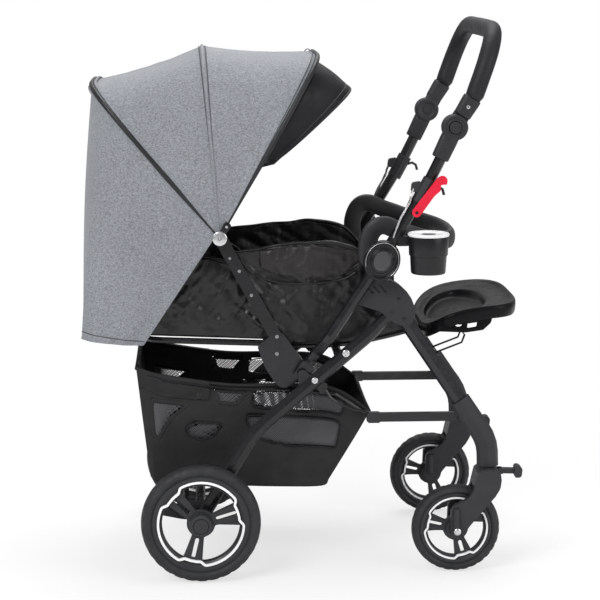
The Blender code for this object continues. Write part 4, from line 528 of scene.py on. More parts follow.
# The CAD nodes that stay in view: a frame finish unless another is named, and rounded edges
NODE_FINISH = {"bow_wire": ("basket_rail", "link_stay", "foot_prop", "canopy_rear_bow", "canopy_front_bow",
                            "canopy_middle_bow"),
               "plastic_dark": ("brake_pedal_bar", "front_bracket", "caster_housing", "swivel_fork", "swivel_lock",
                                "pull_slider"),
               "red_plastic": ("fold_hook",)}
BEVELS = {"front_bracket": 0.0012, "arm": 0.0012, "fold_hook": 0.0008, "swivel_fork": 0.0015,
          "lower_link": 0.001, "swivel_lock": 0.0015, "brake_pedal_bar": 0.0012, "rear_leg": 0.0008}
for node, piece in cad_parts.items():
    stem = node.removesuffix("_R").removesuffix("_L")
    finish = next((name for name, stems in NODE_FINISH.items() if stem in stems), "frame_black")
    piece.data.materials.clear()
    piece.data.materials.append(M[finish])
    piece.data.shade_smooth()
    sharpen(piece, 34)
    if stem in BEVELS:
        modify(piece, "BEVEL", width=BEVELS[stem], segments=2, limit_method="ANGLE",
               angle_limit=radians(40), harden_normals=True, use_clamp_overlap=True)


# Canopy

def polar(centre, radius, angle):
    turn = radians(angle)
    return Vector((centre[0] + radius * cos(turn), centre[1] + radius * sin(turn)))


def bow_point(angle, turn, reach, half):
    """A place on a bow: turn 0 at the middle of the stroller and 1 at the pivot side."""
    bulge = sin(turn * pi / 2) ** SQUARENESS
    rise = cos(turn * pi / 2) ** SQUARENESS
    return spot(polar(CANOPY_PIVOT, reach * rise, angle), half * bulge)


TOP_SHARE, TOP_STEPS, SIDE_STEPS = 0.55, 12, 14


def bow_turns(lowest=0.03):
    """Even steps round a bow: over the top by angle, down the side by height."""
    top = [TOP_SHARE * i / TOP_STEPS for i in range(TOP_STEPS + 1)]
    first = cos(TOP_SHARE * pi / 2) ** SQUARENESS
    heights = [lerp(first, lowest, i / SIDE_STEPS) for i in range(1, SIDE_STEPS + 1)]
    return top + [acos(h ** (1 / SQUARENESS)) * 2 / pi for h in heights]


TURNS = bow_turns()
OUT = 0.0063  # from the middle of a bow to its cloth


def bow_row(angle, reach, out=OUT, half=CLOTH_HALF):
    return [bow_point(angle, turn, reach + out, half) for turn in TURNS]


def mirrored(half_row):
    return [flipped(p) for p in reversed(half_row[1:])] + [Vector(p) for p in half_row]


def layer_faces(count, width):
    """Faces of two like grids of points, one over the other, then of the strip that joins their borders."""
    total = width * count
    faces = []
    for i in range(count - 1):
        for j in range(width - 1):
            a, b = i * width + j, i * width + j + 1
            faces += [(a, b, b + width, a + width), (a + width + total, b + width + total, b + total, a + total)]
    border = (list(range(width)) + [i * width + width - 1 for i in range(1, count)]
              + [(count - 1) * width + j for j in range(width - 2, -1, -1)]
              + [i * width for i in range(count - 2, 0, -1)])
    return faces + [(b, a, a + total, b + total) for a, b in zip(border, border[1:] + border[:1])]


def layered(name, rows, normals):
    """Outer cloth and lining as two close layers and an edge, shaded by the normals of a larger surface."""
    width, count = len(rows[0]), len(rows)
    verts, shading = [], []
    for sign in (1, -1):
        for row, across in zip(rows, normals):
            verts += [p + n * sign * CLOTH_THICKNESS / 2 for p, n in zip(row, across)]
            shading += [n * sign for n in across]
    mesh = bpy.data.meshes.new(name)
    mesh.from_pydata([tuple(v) for v in verts], [], layer_faces(count, width))
    if mesh.polygons[0].normal.dot(shading[0]) < 0:
        mesh.flip_normals()
    for finish in ("canopy_cloth", "lining"):
        mesh.materials.append(M[finish])
    for k in range(1, 2 * (count - 1) * (width - 1), 2):
        mesh.polygons[k].material_index = 1
    mesh.shade_smooth()
    mesh.normals_split_custom_set_from_vertices([tuple(n.normalized()) for n in shading])
    return place_object(name, mesh)


def surface_normals(rows):
    """Outward normals of a surface through rows of points."""
    made = []
    count, width = len(rows), len(rows[0])
    for i in range(count):
        line = []
        for j in range(width):
            along = rows[min(i + 1, count - 1)][j] - rows[max(i - 1, 0)][j]
            across = slope(rows[i], j)
            normal = along.cross(across).normalized()
            away = rows[i][j] - Vector((CANOPY_PIVOT[0], 0, CANOPY_PIVOT[1] - 0.05))
            line.append(normal if normal.dot(away) > 0 else -normal)
        made.append(line)
    return made


ROWS = {"front": bow_row(FRONT_ANGLE, BOW_REACH), "middle": bow_row(MIDDLE_ANGLE, MIDDLE_REACH),
        "rear": bow_row(REAR_ANGLE, REAR_REACH)}
STEPS_PER_PANEL = 4
ROWS_PER_STEP = 6


def panel_row(start, end, share, sag, seed):
    """Cloth pulled between two bows: hollow in the middle, with faint pulls from the corners."""
    row = []
    for i, (a, b) in enumerate(zip(ROWS[start], ROWS[end])):
        point = a.lerp(b, share)
        down = sin(pi * share)
        height = 1 - i / (len(TURNS) - 1)
        point.z -= sag * down * min(1.0, height * 2)
        side = 1 - smooth_step(height * 2.2)
        point.y -= 0.0035 * down * side
        pull = wrinkle((point.x * 0.8, point.y * 0.4, point.z * 0.45), 9, seed) * 0.0032 * down
        fine = wrinkle((point.x * 1.6, point.y * 0.6, point.z * 0.5), 24, seed + 3) * 0.0012 * down
        point += Vector((0, -(pull + fine) * side, (pull + fine) * (1 - side)))
        row.append(point)
    return row


def follow(piece, share):
    """Bake the piece's place into its mesh; the share of the front bow's turn is eased here, but the result is not
    used.
    """
    steep = share
    for _ in range(20):
        steep = steep - (steep * steep * (3 - 2 * steep) - share) / (6 * steep * (1 - steep))
    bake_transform(piece)


def canopy_panels():
    """The cloth over the bows, cut into slices."""
    for start, end, first, last, sag, seed in (("middle", "front", MIDDLE_SHARE, 1.0, 0.005, 3.1),
                                               ("rear", "middle", 0.0, MIDDLE_SHARE, 0.007, 7.7)):
        steps = STEPS_PER_PANEL * ROWS_PER_STEP
        rows = [mirrored(panel_row(start, end, k / steps, sag, seed)) for k in range(steps + 1)]
        normals = surface_normals(rows)
        for k in range(STEPS_PER_PANEL):
            low, high = k * ROWS_PER_STEP, (k + 1) * ROWS_PER_STEP + 1
            piece = layered(f"canopy_{start}_{k + 1}", rows[low:high], normals[low:high])
            follow(piece, lerp(first, last, (k + 0.5) / STEPS_PER_PANEL))


canopy_panels()


def seam(name, row, radius, finish, body, lift, run=7):
    """A bead along a bow row, tapered towards its ends."""
    centre = spot(CANOPY_PIVOT, 0)
    points = []
    for p in row:
        away = p - centre
        points.append(p + Vector((away.x, away.y * 1.4, away.z)).normalized() * lift)
    whole = mirrored(points)
    last = len(whole) - 1
    radii = [radius * (0.35 + 0.65 * smooth_step(min(i, last - i) / run)) for i in range(last + 1)]
    dress(sweep(name, whole, radii, 10), finish, body)


DRAPE_BOTTOM, HEM_REAR, HEM_FRONT, HEM_HALF, DRAPE_LENGTH = 0.476, -0.442, -0.322, 0.205, 1.02


def drape_rows(count=34):
    """The cloth that hangs behind the rear bow, in soft vertical folds that grow downwards."""
    top = ROWS["rear"]
    last = len(top) - 1
    first_side = 11
    rows = []
    for step in range(count + 1):
        drop = step / count
        row = []
        for i, point in enumerate(top):
            side = max(0.0, (i - first_side) / (last - first_side))
            hem = Vector((lerp(HEM_REAR, HEM_FRONT, side ** 1.2),
                          min(point.y, lerp(point.y, HEM_HALF, side)),
                          DRAPE_BOTTOM + 0.01 * (1 - side) - 0.006 * (i / last)))
            arc = sin(pi * drop)
            hang = sin(pi * min(1.0, drop * 0.62 + 0.02))
            p = point.lerp(hem, drop)
            along = i / last
            pleat = sin(along * 17.0 + 0.6) * 0.6 + sin(along * 29.0 + 1.9) * 0.4
            fold = 0.0062 * hang * pleat * (0.35 + 0.65 * side ** 0.5)
            billow = 0.0075 * arc * (1 - side)
            p += Vector((-billow - abs(fold) * (1 - side) * 0.5 - fold * 0.3 * (1 - side),
                         (fold - 0.003 * hang) * side, 0))
            row.append(p)
        rows.append(row)
    return rows


DRAPE = drape_rows()
whole_drape = [mirrored(row) for row in DRAPE]
drape = layered("canopy_drape", whole_drape, surface_normals(whole_drape))
dress(drape, None, "arm_frame")
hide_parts("canopy_cover")

# Seams: a welt over each bow, black piping behind the rear one, a turned hem below
for name, angle, reach, out, *rest in (
        ("middle_welt", MIDDLE_ANGLE, MIDDLE_REACH, OUT, 0.0034, "canopy_cloth", "canopy_middle", 0.0012),
        ("middle_stitch_a", MIDDLE_ANGLE - 1.0, MIDDLE_REACH, OUT + 0.0002, 0.0011, "thread", "canopy_middle", 0),
        ("middle_stitch_b", MIDDLE_ANGLE + 1.0, MIDDLE_REACH, OUT + 0.0002, 0.0011, "thread", "canopy_middle", 0),
        ("rear_piping", REAR_ANGLE, REAR_REACH, OUT + 0.001, 0.0052, "piping", "arm_frame", 0.0012),
        ("rear_welt_a", REAR_ANGLE - 1.2, REAR_REACH - 0.0004, OUT, 0.0024, "canopy_cloth", "arm_frame", 0.0008),
        ("rear_welt_b", REAR_ANGLE + 1.2, REAR_REACH - 0.0004, OUT, 0.0024, "canopy_cloth", "arm_frame", 0.0008),
        ("front_welt", FRONT_ANGLE, BOW_REACH, OUT - 0.001, 0.0054, "piping", "canopy_front", 0, 11),
        ("front_stitch", FRONT_ANGLE + 1.6, BOW_REACH - 0.0006, OUT + 0.0002, 0.001, "thread", "canopy_front", 0)):
    seam(f"canopy_{name}", bow_row(angle, reach, out), *rest)
dress(sweep("canopy_hem", mirrored(DRAPE[-1]), 0.0022, 10), "canopy_cloth", "arm_frame")
dress(sweep("canopy_hem_stitch", mirrored(DRAPE[-2]), 0.0015, 8), "thread", "arm_frame")
edge = [row[-1] for row in DRAPE]
for side, suffix in SIDES:
    points = [Vector((p.x, copysign(p.y, side), p.z)) for p in edge]
    dress(sweep(f"canopy_edge_{suffix}", points, 0.0022, 10), "canopy_cloth", "arm_frame")


# Visor

VISOR_REACH, VISOR_SPREAD = 0.09, 0.92


def visor_piece():
    """A padded peak: a crowned middle, and a seam and a rolled rim along its edge."""
    count, depth_steps = 40, 14
    rows = []
    for k in range(depth_steps + 1):
        depth = k / depth_steps
        row = []
        for i in range(count * 2 + 1):
            spread = (i - count) / count * VISOR_SPREAD
            turn = abs(spread)
            p = bow_point(FRONT_ANGLE, turn, BOW_REACH - 0.0076, CLOTH_HALF - 0.0186)
            out = VISOR_REACH * depth * cos(turn / VISOR_SPREAD * pi / 2) ** 0.5
            ahead = Vector((0.8, -0.6)) * (out + 0.0046)
            row.append(Vector((p[0] + ahead[0], copysign(p[1], spread) * (1 - 0.14 * depth),
                               p[2] + ahead[1])))
        rows.append(row)
    across = surface_normals(rows)
    top, low = [], []
    for k, (row, line) in enumerate(zip(rows, across)):
        depth = k / depth_steps
        puff = 0.003 * sin(pi * min(1.0, depth * 1.06)) ** 0.6 + 0.0008
        pinch = 1 - 0.75 * exp(-((depth - 0.84) / 0.035) ** 2)
        upper, lower = [], []
        for i, (p, n) in enumerate(zip(row, line)):
            ends = min(1.0, min(i, len(row) - 1 - i) / 5)
            soft = wrinkle((p.x, p.y * 0.5, p.z), 30, 4.4) * 0.0012
            lift = (puff * pinch + soft * sin(pi * depth)) * (0.3 + 0.7 * ends)
            upper.append(p + n * lift)
            lower.append(p - n * 0.0014)
        top.append(upper)
        low.append(lower)
    return capped(grid("canopy_peak", top + low[::-1], closed_ends=True)), top, low


visor, visor_rows, visor_low = visor_piece()
dress(visor, "visor_leather", "canopy_front")
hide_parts("canopy_visor")
dress(sweep("peak_piping", visor_low[-1], 0.003, 12), "piping", "canopy_front")
dress(sweep("peak_stitch", [p + Vector((0, 0, 0.0006)) for p in visor_rows[-3]], 0.0008, 6), "thread",
      "canopy_front")


# Seat and back tubs

WALL_POINTS, FLOOR_STEPS, STATION_STEPS = 34, 8, 24


def crease(point, scale, seed):
    """Sharp-crested cloth folds at a place, from -1 to 1."""
    return 1 - 2 * min(1.0, abs(wrinkle(point, scale, seed)) * 2.6) ** 0.75


def section(station, swell, points):
    """A cross section of a tub, from the right rim over the floor to the left rim."""
    x_rim, x_floor, floor, rim, half, floor_half = station
    left = []
    for i in range(points):
        share = i / (points - 1)
        bulge = sin(pi * share) * swell
        left.append(Vector((lerp(x_rim, x_floor, share), lerp(half, floor_half, share ** 2) + bulge,
                            lerp(rim, floor, share))))
    foot = left[-1]
    left += [Vector((foot.x, foot.y * (1 - k / FLOOR_STEPS), foot.z)) for k in range(1, FLOOR_STEPS + 1)]
    return [flipped(p) for p in left] + left[:-1][::-1]


def rim_line(rows, side):
    """The right or the left rim of a tub."""
    return [row[0 if side < 0 else -1] for row in rows]


def end_faces(start, width):
    """Faces that close a cross section, between its left and right halves."""
    made = []
    for i in range(width // 2):
        corners = (start + i, start + i + 1, start + width - 2 - i, start + width - 1 - i)
        corners = tuple(dict.fromkeys(corners))
        if len(corners) > 2:
            made.append(corners)
    return made


def resample(stations, count):
    """Smooth in-between stations of a tub."""
    points = [Vector(s[:3]) for s in stations]
    rest = [Vector(s[3:6]) for s in stations]
    return [(*a, *b) for a, b in zip(spline(points, count), spline(rest, count))]


def tub(name, stations, swell, thickness, fold_depth, seed, shift, close_last=False):
    """A sewn cloth tub, its walls pulled into folds, its floor slightly quilted."""
    rows = [section(station, swell, WALL_POINTS) for station in resample(stations, STATION_STEPS)]
    width = len(rows[0])
    for row in rows:
        for c, p in enumerate(row):
            side = -1 if c < width / 2 else 1
            from_rim = min(c, width - 1 - c) / (WALL_POINTS - 1)
            if from_rim <= 1:
                fold = wrinkle((p.x * 1.5 + p.z * 0.9, side * 0.7, (p.z - p.x * 0.8) * 0.45), 19, seed)
                drag = crease((p.x * 0.6 + p.z * 0.8, side * 0.4, (p.x * 0.8 - p.z * 0.6) * 0.26), 32, seed + 6)
                fine = crease((p.x * 0.86 - p.z * 0.5, side * 0.3, (p.x * 0.5 + p.z * 0.86) * 0.3), 48, seed + 4)
                belly = sin(pi * min(1, from_rim * 0.85 + 0.12))
                pull = fold * 0.9 + drag * 0.62 + fine * 0.34 - 0.12
                p.y = side * (abs(p.y) + shift + fold_depth * max(-1.0, min(1.0, pull * belly * 1.25)))
                if from_rim < 0.05:
                    p.z += wrinkle((p.x * 1.0, side, 0.2), 24, seed + 2) * 0.004
            else:
                p.z += wrinkle((p.x, p.y, 0), 26, seed + 9) * 0.0014
    piece = grid(name, rows)
    if close_last:
        def close_end(bm):
            bm.verts.ensure_lookup_table()
            for corners in end_faces((len(rows) - 1) * width, width):
                bm.faces.new([bm.verts[i] for i in corners])

        reshape(piece.data, close_end)
    piece.data.shade_smooth()
    return thicken(piece, thickness, use_even_offset=False), rows


SEAT_FLOOR, SEAT_RIM, SEAT_FRONT = 0.465, 0.66, 0.236
SEAT_HALF = 0.1755
seat_stations = [(x_rim, x_floor, SEAT_FLOOR + floor, SEAT_RIM + rim, SEAT_HALF - high, SEAT_HALF - low)
                 for x_rim, x_floor, floor, rim, high, low in (
                     (-0.165, -0.04, 0.0, -0.01, 0.004, 0.004), (-0.05, 0.000, 0.0, 0.005, 0.004, 0.004),
                     (0.04, 0.05, 0.001, 0.01, 0.004, 0.006), (0.105, 0.12, 0.008, -0.003, 0.004, 0.008),
                     (0.15, 0.185, 0.022, -0.05, 0.005, 0.012),
                     (SEAT_FRONT - 0.03, SEAT_FRONT, 0.036, -0.118, 0.008, 0.014))]
seat, seat_rows = tub("seat_cloth_tub", seat_stations, 0.0005, 0.004, 0.004, 1.7, 0.002)
dress(seat, "seat_cloth", "rear_frame")
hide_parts("seat_tub")

BACK_START = RECLINE_PIVOT[0] - 0.0115
BACK_END = BACK_START - 0.258
BACK_FLOOR = RECLINE_PIVOT[1] + 0.0099
BACK_HALF = 0.1635
back_stations = []
for share, wall in ((0.0, 0.06), (0.2, 0.13), (0.45, 0.16), (0.75, 0.16), (1.0, 0.15)):
    x = lerp(BACK_START, BACK_END, share)
    floor = BACK_FLOOR + 0.01 * share
    back_stations.append((x - (0.02 if share == 0 else 0.0), x, floor, floor + wall, BACK_HALF,
                          BACK_HALF - 0.005 * (1 + share)))
back, back_rows = tub("back_cloth_tub", back_stations, 0.0, 0.004, 0.0045, 5.3, -0.005, True)
dress(back, "seat_cloth", "backrest")
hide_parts("back_tub")


def binding(name, points, radius, finish, body):
    return dress(sweep(name, spline(points, 3), radius, 12), finish, body)


for side, suffix in SIDES:
    line = spline([Vector((p.x, side * (abs(p.y) + 0.0018 * (1 - smooth_step((p.x - 0.005) / 0.05))), p.z + 0.001))
                   for p in rim_line(seat_rows[::5], side)], 3)
    sizes = [lerp(0.0026, 0.0044, smooth_step((p.x - 0.005) / 0.05)) for p in line]
    dress(sweep(f"seat_binding_{suffix}", line, sizes, 12), "seat_cloth", "rear_frame")
    rim = [p + Vector((0, -side * 0.0022, 0.001)) for p in rim_line(back_rows[::5], side)]
    binding(f"back_binding_{suffix}", rim, 0.0036, "seat_cloth", "backrest")


def cushion(name, outline, floor_at, body, channels, thickness=0.01, crown=0.006):
    """A quilted pad on the tub's floor: crowned, pinched at its sewn channels."""
    (x0, x1), half = outline
    count_x, count_y = 44, 34
    top, low = [], []
    for i in range(count_x + 1):
        u = i / count_x
        upper, lower = [], []
        for j in range(count_y + 1):
            v = j / count_y * 2 - 1
            x = lerp(x0, x1, u)
            y = v * half
            edge = min(1.0, (1 - abs(v)) / 0.16) * min(1.0, min(u, 1 - u) / 0.1)
            lift = sin(pi / 2 * max(0.0, edge)) ** 0.6
            pinch = 1.0
            for channel in channels:
                pinch *= 1 - 0.42 * exp(-((u - channel) / 0.022) ** 2)
            base = floor_at(x)
            soft = wrinkle((x, y, 0.3), 20, 2.2) * 0.0016
            upper.append(Vector((x, y, base + 0.002 + (thickness + soft + crown * (1 - v * v)) * lift * pinch)))
            lower.append(Vector((x, y, base + 0.0012)))
        top.append(upper)
        low.append(lower)
    verts = [p for row in top + low for p in row]
    piece = make_object(name, verts, layer_faces(count_x + 1, count_y + 1))
    dress(piece, "seat_cloth", body)


def seat_floor_height(x):
    for a, b in zip(seat_stations, seat_stations[1:]):
        if a[1] <= x <= b[1]:
            return lerp(a[2], b[2], (x - a[1]) / (b[1] - a[1])) + 0.004
    return seat_stations[0][2] + 0.004 if x < 0 else seat_stations[-1][2] + 0.004


def back_floor_height(x):
    return BACK_FLOOR + 0.01 * (BACK_START - x) / (BACK_START - BACK_END) + 0.004


cushion("seat_pad", ((-0.034, 0.226), 0.146), seat_floor_height, "rear_frame", (0.34, 0.68))
cushion("back_pad", ((BACK_START - 0.01, BACK_END + 0.014), 0.138), back_floor_height, "backrest", (0.3, 0.62))


# Side flap: a puffed roll of thinner cloth below the near rim

def flap(side, suffix):
    rows = []
    along, down = 46, 14
    for i in range(along + 1):
        u = i / along
        x = lerp(-0.086, 0.118, u)
        ends = sin(pi * u) ** 0.45 if 0 < u < 1 else 0.0
        rim_z = 0.6535 + 0.012 * sin(pi * u ** 0.9) - 0.002 * u + wrinkle((x, 0, 0), 40, 2.0) * 0.0022
        sag = 0.052 * sin(pi * min(1, u * 0.92 + 0.06)) ** 0.8 + 0.016
        row = []
        for j in range(down + 1):
            v = j / down
            puff = sin(pi * v) ** 0.8 * 0.0044 * ends
            gather = sin(u * 64 + 3 * sin(u * 9)) * 0.003 * v ** 1.6 * ends
            gather *= 0.5 + 0.5 * sin(u * 5 + 1)
            soft = (wrinkle((x, 0, v * 0.05), 36, 8.1 + side) * 0.0024
                    + crease((x * 0.6, 0, v * 0.05 + x * 0.2), 44, 3.3) * 0.002) * ends
            z = rim_z - sag * v + gather * 0.8
            y = min(0.1806, 0.1752 + puff + gather * 0.6 + soft)
            row.append(Vector((x, side * y, z)))
        rows.append(row)
    piece = thicken(grid(f"side_flap_{suffix}", rows), 0.002, -side)
    dress(piece, "flap_cloth", "rear_frame")
    low = [row[-1] + Vector((0, side * 0.0006, 0)) for row in rows]
    dress(sweep(f"flap_hem_{suffix}", low, 0.002, 8), "seat_cloth", "rear_frame")


def pocket_cord(side, suffix):
    """The corded edge of the pocket that sags below the puffed roll."""
    places = [(-0.128, 0.642), (-0.112, 0.62), (-0.088, 0.603), (-0.05, 0.5915), (-0.005, 0.588), (0.045, 0.59),
              (0.085, 0.598), (0.108, 0.612)]
    line = [spot(p, side * 0.1775) for p in places]
    cord = sweep(f"pocket_cord_{suffix}", spline(line, 6), 0.0021, 10)
    dress(cord, "seat_cloth", "rear_frame")


for side, suffix in SIDES:
    flap(side, suffix)
    pocket_cord(side, suffix)


# Padded bumper

BUMPER_HALF, BUMPER_FRONT = 0.1882, Vector((0.316, 0.664))


def bumper_sleeve():
    """A padded band round the front, its broad faces looking outwards, its ends closed by rounded caps."""
    side_path = [FOLD_PIVOT + Vector(p) for p in (
        (-0.046, 0.09), (-0.047, 0.13), (-0.036, 0.16), (-0.014, 0.17), (0.02, 0.157))]
    right = [spot(p, -BUMPER_HALF) for p in side_path]
    for ahead, share in ((0.42, 0.93), (0.8, 0.68), (0.97, 0.34)):
        right.append(Vector((lerp(side_path[-1][0], BUMPER_FRONT[0], ahead), -BUMPER_HALF * share,
                             lerp(side_path[-1][1], BUMPER_FRONT[1], ahead ** 0.7))))
    path = spline([*right, spot(BUMPER_FRONT, 0), *map(flipped, reversed(right))], 7)
    rows, last = [], len(path) - 1
    for i, point in enumerate(path):
        along = slope(path, i).normalized()
        ahead = max(0.0, point[0] - FOLD_PIVOT[0]) / (BUMPER_FRONT[0] - FOLD_PIVOT[0]) ** 2
        out = Vector((ahead, point[1] / BUMPER_HALF ** 2, 0)).normalized()
        out = (out - along * out.dot(along)).normalized()
        up = along.cross(out)
        size = 0.8 + 0.2 * smooth_step(min(i, last - i) / 2.5)
        row = []
        for turn in around(32):
            across, tall = cos(turn), sin(turn)
            flat = power(across, 0.8) * 0.0095
            soft = wrinkle(point + up * tall * 0.02 + out * across * 0.01, 34, 2.8) * 0.0005
            row.append(point + out * flat * size * (1 + soft * 60) + up * tall * (0.0185 + soft) * size)
        rows.append(row)
    for row, inner in ((rows[0], rows[1]), (rows[-1], rows[-2])):
        middle = sum(row, Vector()) / len(row)
        away = (middle - sum(inner, Vector()) / len(inner)).normalized()
        cap = [middle + (p - middle) * 0.55 + away * 0.0022 for p in row]
        if row is rows[0]:
            rows.insert(0, cap)
        else:
            rows.append(cap)
    return dress(capped(grid("bumper_sleeve", rows, closed_rows=True)), "bumper_foam", "bumper")


sleeve = bumper_sleeve()
plugs = []
for side, suffix in SIDES:
    path = [FOLD_PIVOT + Vector(p) for p in ((-0.037, 0.043), (-0.0376, 0.046), (-0.045, 0.094))]
    plugs.append(sweep(f"bumper_plug_{suffix}", [spot(p, side * BUMPER_HALF) for p in path],
                       [0.0074, 0.0085, 0.0085], 24))
plug = sharpen(join("bumper_plugs", plugs), 50)
dress(plug, "plastic_gloss", "bumper")
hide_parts("bumper_bar")


# Basket

BASKET_RIM, BASKET_FLOOR, BASKET_REAR, BASKET_FRONT, BASKET_HALF = 0.388, 0.164, -0.336, 0.136, 0.169
BASKET_MIDDLE = (BASKET_REAR + BASKET_FRONT) / 2
basket_stations = [(x, x + lean, BASKET_FLOOR + floor, BASKET_RIM + rim, BASKET_HALF, BASKET_HALF - narrower)
                   for x, lean, floor, rim, narrower in (
                       (BASKET_REAR, 0.026, 0.022, 0.028, 0.019), (BASKET_REAR + 0.05, 0.0, 0.01, 0.012, 0.013),
                       (BASKET_MIDDLE - 0.05, 0.0, 0.004, -0.008, 0.011),
                       (BASKET_MIDDLE + 0.08, -0.02, 0.0, -0.01, 0.011),
                       (BASKET_FRONT - 0.07, -0.026, 0.0, -0.02, 0.013),
                       (BASKET_FRONT, -0.082, 0.012, -0.066, 0.019))]


def in_polygon(point, outline):
    inside = False
    for (x0, y0), (x1, y1) in zip(outline, outline[1:] + outline[:1]):
        if (y0 > point[1]) != (y1 > point[1]) and point[0] < (x1 - x0) * (point[1] - y0) / (y1 - y0) + x0:
            inside = not inside
    return inside


BASKET_WALL = 39

# Windows of net in the side wall, in shares along the basket and down its wall
NET_WINDOWS = [
    [(0.36, 0.06), (0.455, 0.06), (0.425, 0.19), (0.37, 0.18)],
    [(0.48, 0.06), (0.72, 0.07), (0.87, 0.08), (0.85, 0.24), (0.62, 0.245), (0.47, 0.21)],
    [(0.13, 0.24), (0.29, 0.225), (0.25, 0.34), (0.215, 0.46), (0.19, 0.58), (0.14, 0.56)],
    [(0.28, 0.44), (0.315, 0.375), (0.38, 0.38), (0.355, 0.51), (0.32, 0.56), (0.29, 0.52)],
    [(0.455, 0.285), (0.62, 0.305), (0.86, 0.305), (0.875, 0.6), (0.63, 0.6), (0.51, 0.54), (0.46, 0.39)]]


def basket_grid():
    """Rows of points over the basket's sagging walls and floor."""
    rows = [section(station, 0.004, BASKET_WALL + 1) for station in resample(basket_stations, STATION_STEPS)]
    width = len(rows[0])
    for row in rows:
        for c, p in enumerate(row):
            side = -1 if c < width / 2 else 1
            from_rim = min(c, width - 1 - c) / BASKET_WALL
            if 0 < from_rim <= 1:
                p.y += side * (wrinkle((p.x, side, p.z), 14, 6.4) * 0.004 - 0.002) * sin(pi * from_rim)
            elif from_rim > 1:
                p.z += (wrinkle((p.x, p.y, 0), 12, 3.3) * 0.003 - 0.001)
    return rows, width


def cloth_faces(count, width):
    """The basket's cells that aren't in a window, and its closed ends."""
    faces = []
    for i in range(count - 1):
        for j in range(width - 1):
            down = (min(j, width - 2 - j) + 0.5) / BASKET_WALL
            place = ((i + 0.5) / (count - 1), down)
            if down >= 1 or not any(in_polygon(place, w) for w in NET_WINDOWS):
                faces.append((i * width + j, i * width + j + 1, (i + 1) * width + j + 1, (i + 1) * width + j))
    return faces + end_faces(0, width) + end_faces((count - 1) * width, width)


basket_rows, basket_width = basket_grid()
basket = make_object("basket_shell", [p for row in basket_rows for p in row],
                     cloth_faces(len(basket_rows), basket_width))
thicken(basket, 0.0028, use_even_offset=False)
dress(basket, "basket_cloth", "rear_frame")
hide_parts("basket")


def wall_place(u, v, side):
    """A place on the basket's wall by shares along and down."""
    count = len(basket_rows)
    i = min(count - 2, int(u * (count - 1)))
    fi = u * (count - 1) - i
    j = min(BASKET_WALL - 1, int(v * BASKET_WALL))
    fj = v * BASKET_WALL - j

    def pick(r, c):
        return basket_rows[r][c if side < 0 else basket_width - 1 - c]

    a = pick(i, j).lerp(pick(i, j + 1), fj)
    b = pick(i + 1, j).lerp(pick(i + 1, j + 1), fj)
    return a.lerp(b, fi)


NET_LENGTH, NET_HEIGHT, STRAND_STEPS = 0.472, 0.2, 26


def net(side, suffix):
    """Knitted net: crossing slanted strands, each a thin ribbon following the wall."""
    verts, faces = [], []
    for slant, pitch, wide in ((1, 0.0036, 0.001053), (-1, 0.00576, 0.000624)):
        count = int((NET_LENGTH + NET_HEIGHT) / pitch)
        for k in range(-count, count):
            run = []
            for s in range(STRAND_STEPS + 1):
                v = s / STRAND_STEPS
                u = (k * pitch + slant * v * NET_HEIGHT * 0.85) / NET_LENGTH
                if 0 < u < 1 and any(in_polygon((u, v), w) for w in NET_GROWN):
                    run.append((u, v))
                else:
                    strand(run, side, wide, verts, faces)
                    run = []
            strand(run, side, wide, verts, faces)
    piece = thicken(make_object(f"basket_net_{suffix}", verts, faces), 0.0007)
    return dress(piece, "net", "rear_frame")


def strand(run, side, half, verts, faces):
    if len(run) < 2:
        return
    points = [wall_place(u, v, side) for u, v in run]
    start = len(verts)
    for i, p in enumerate(points):
        along = slope(points, i).normalized()
        across = along.cross(Vector((0, 1, 0))).normalized() * half
        verts += [p - across, p + across]
        if i:
            a = start + 2 * i
            faces.append((a - 2, a - 1, a + 1, a))


def grown(outline, amount):
    middle = Vector((sum(p[0] for p in outline), sum(p[1] for p in outline))) / len(outline)
    return [tuple(Vector(p) + (Vector(p) - middle).normalized() * amount) for p in outline]


NET_GROWN = [grown(w, 0.014) for w in NET_WINDOWS]


def window_tapes(side, suffix):
    """Sewn tape round each net window."""
    tapes = []
    for k, window in enumerate(NET_WINDOWS):
        corners = [Vector(p) for p in window]
        line = []
        for i, corner in enumerate(corners):
            back, ahead = corners[i - 1] - corner, corners[(i + 1) % len(corners)] - corner
            start, end = corner + back * 0.22, corner + ahead * 0.22
            line += bend(start, corner, end, 4)
        outline = [wall_place(u, v, side) + Vector((0, side * 0.0014, 0)) for u, v in line]
        outline = spline([*outline, outline[0]], 2)[:-1]
        tapes.append(sweep(f"tape_{k}", outline, 0.0042, 10, 0.28, closed=True))
    made = join(f"basket_tapes_{suffix}", tapes)
    made.data.shade_smooth()
    return dress(made, "basket_cloth", "rear_frame")


for side, suffix in SIDES:
    window_tapes(side, suffix)


BAND_LENGTH, BAND_DEPTH = 0.345, 0.17  # in shares of the wall


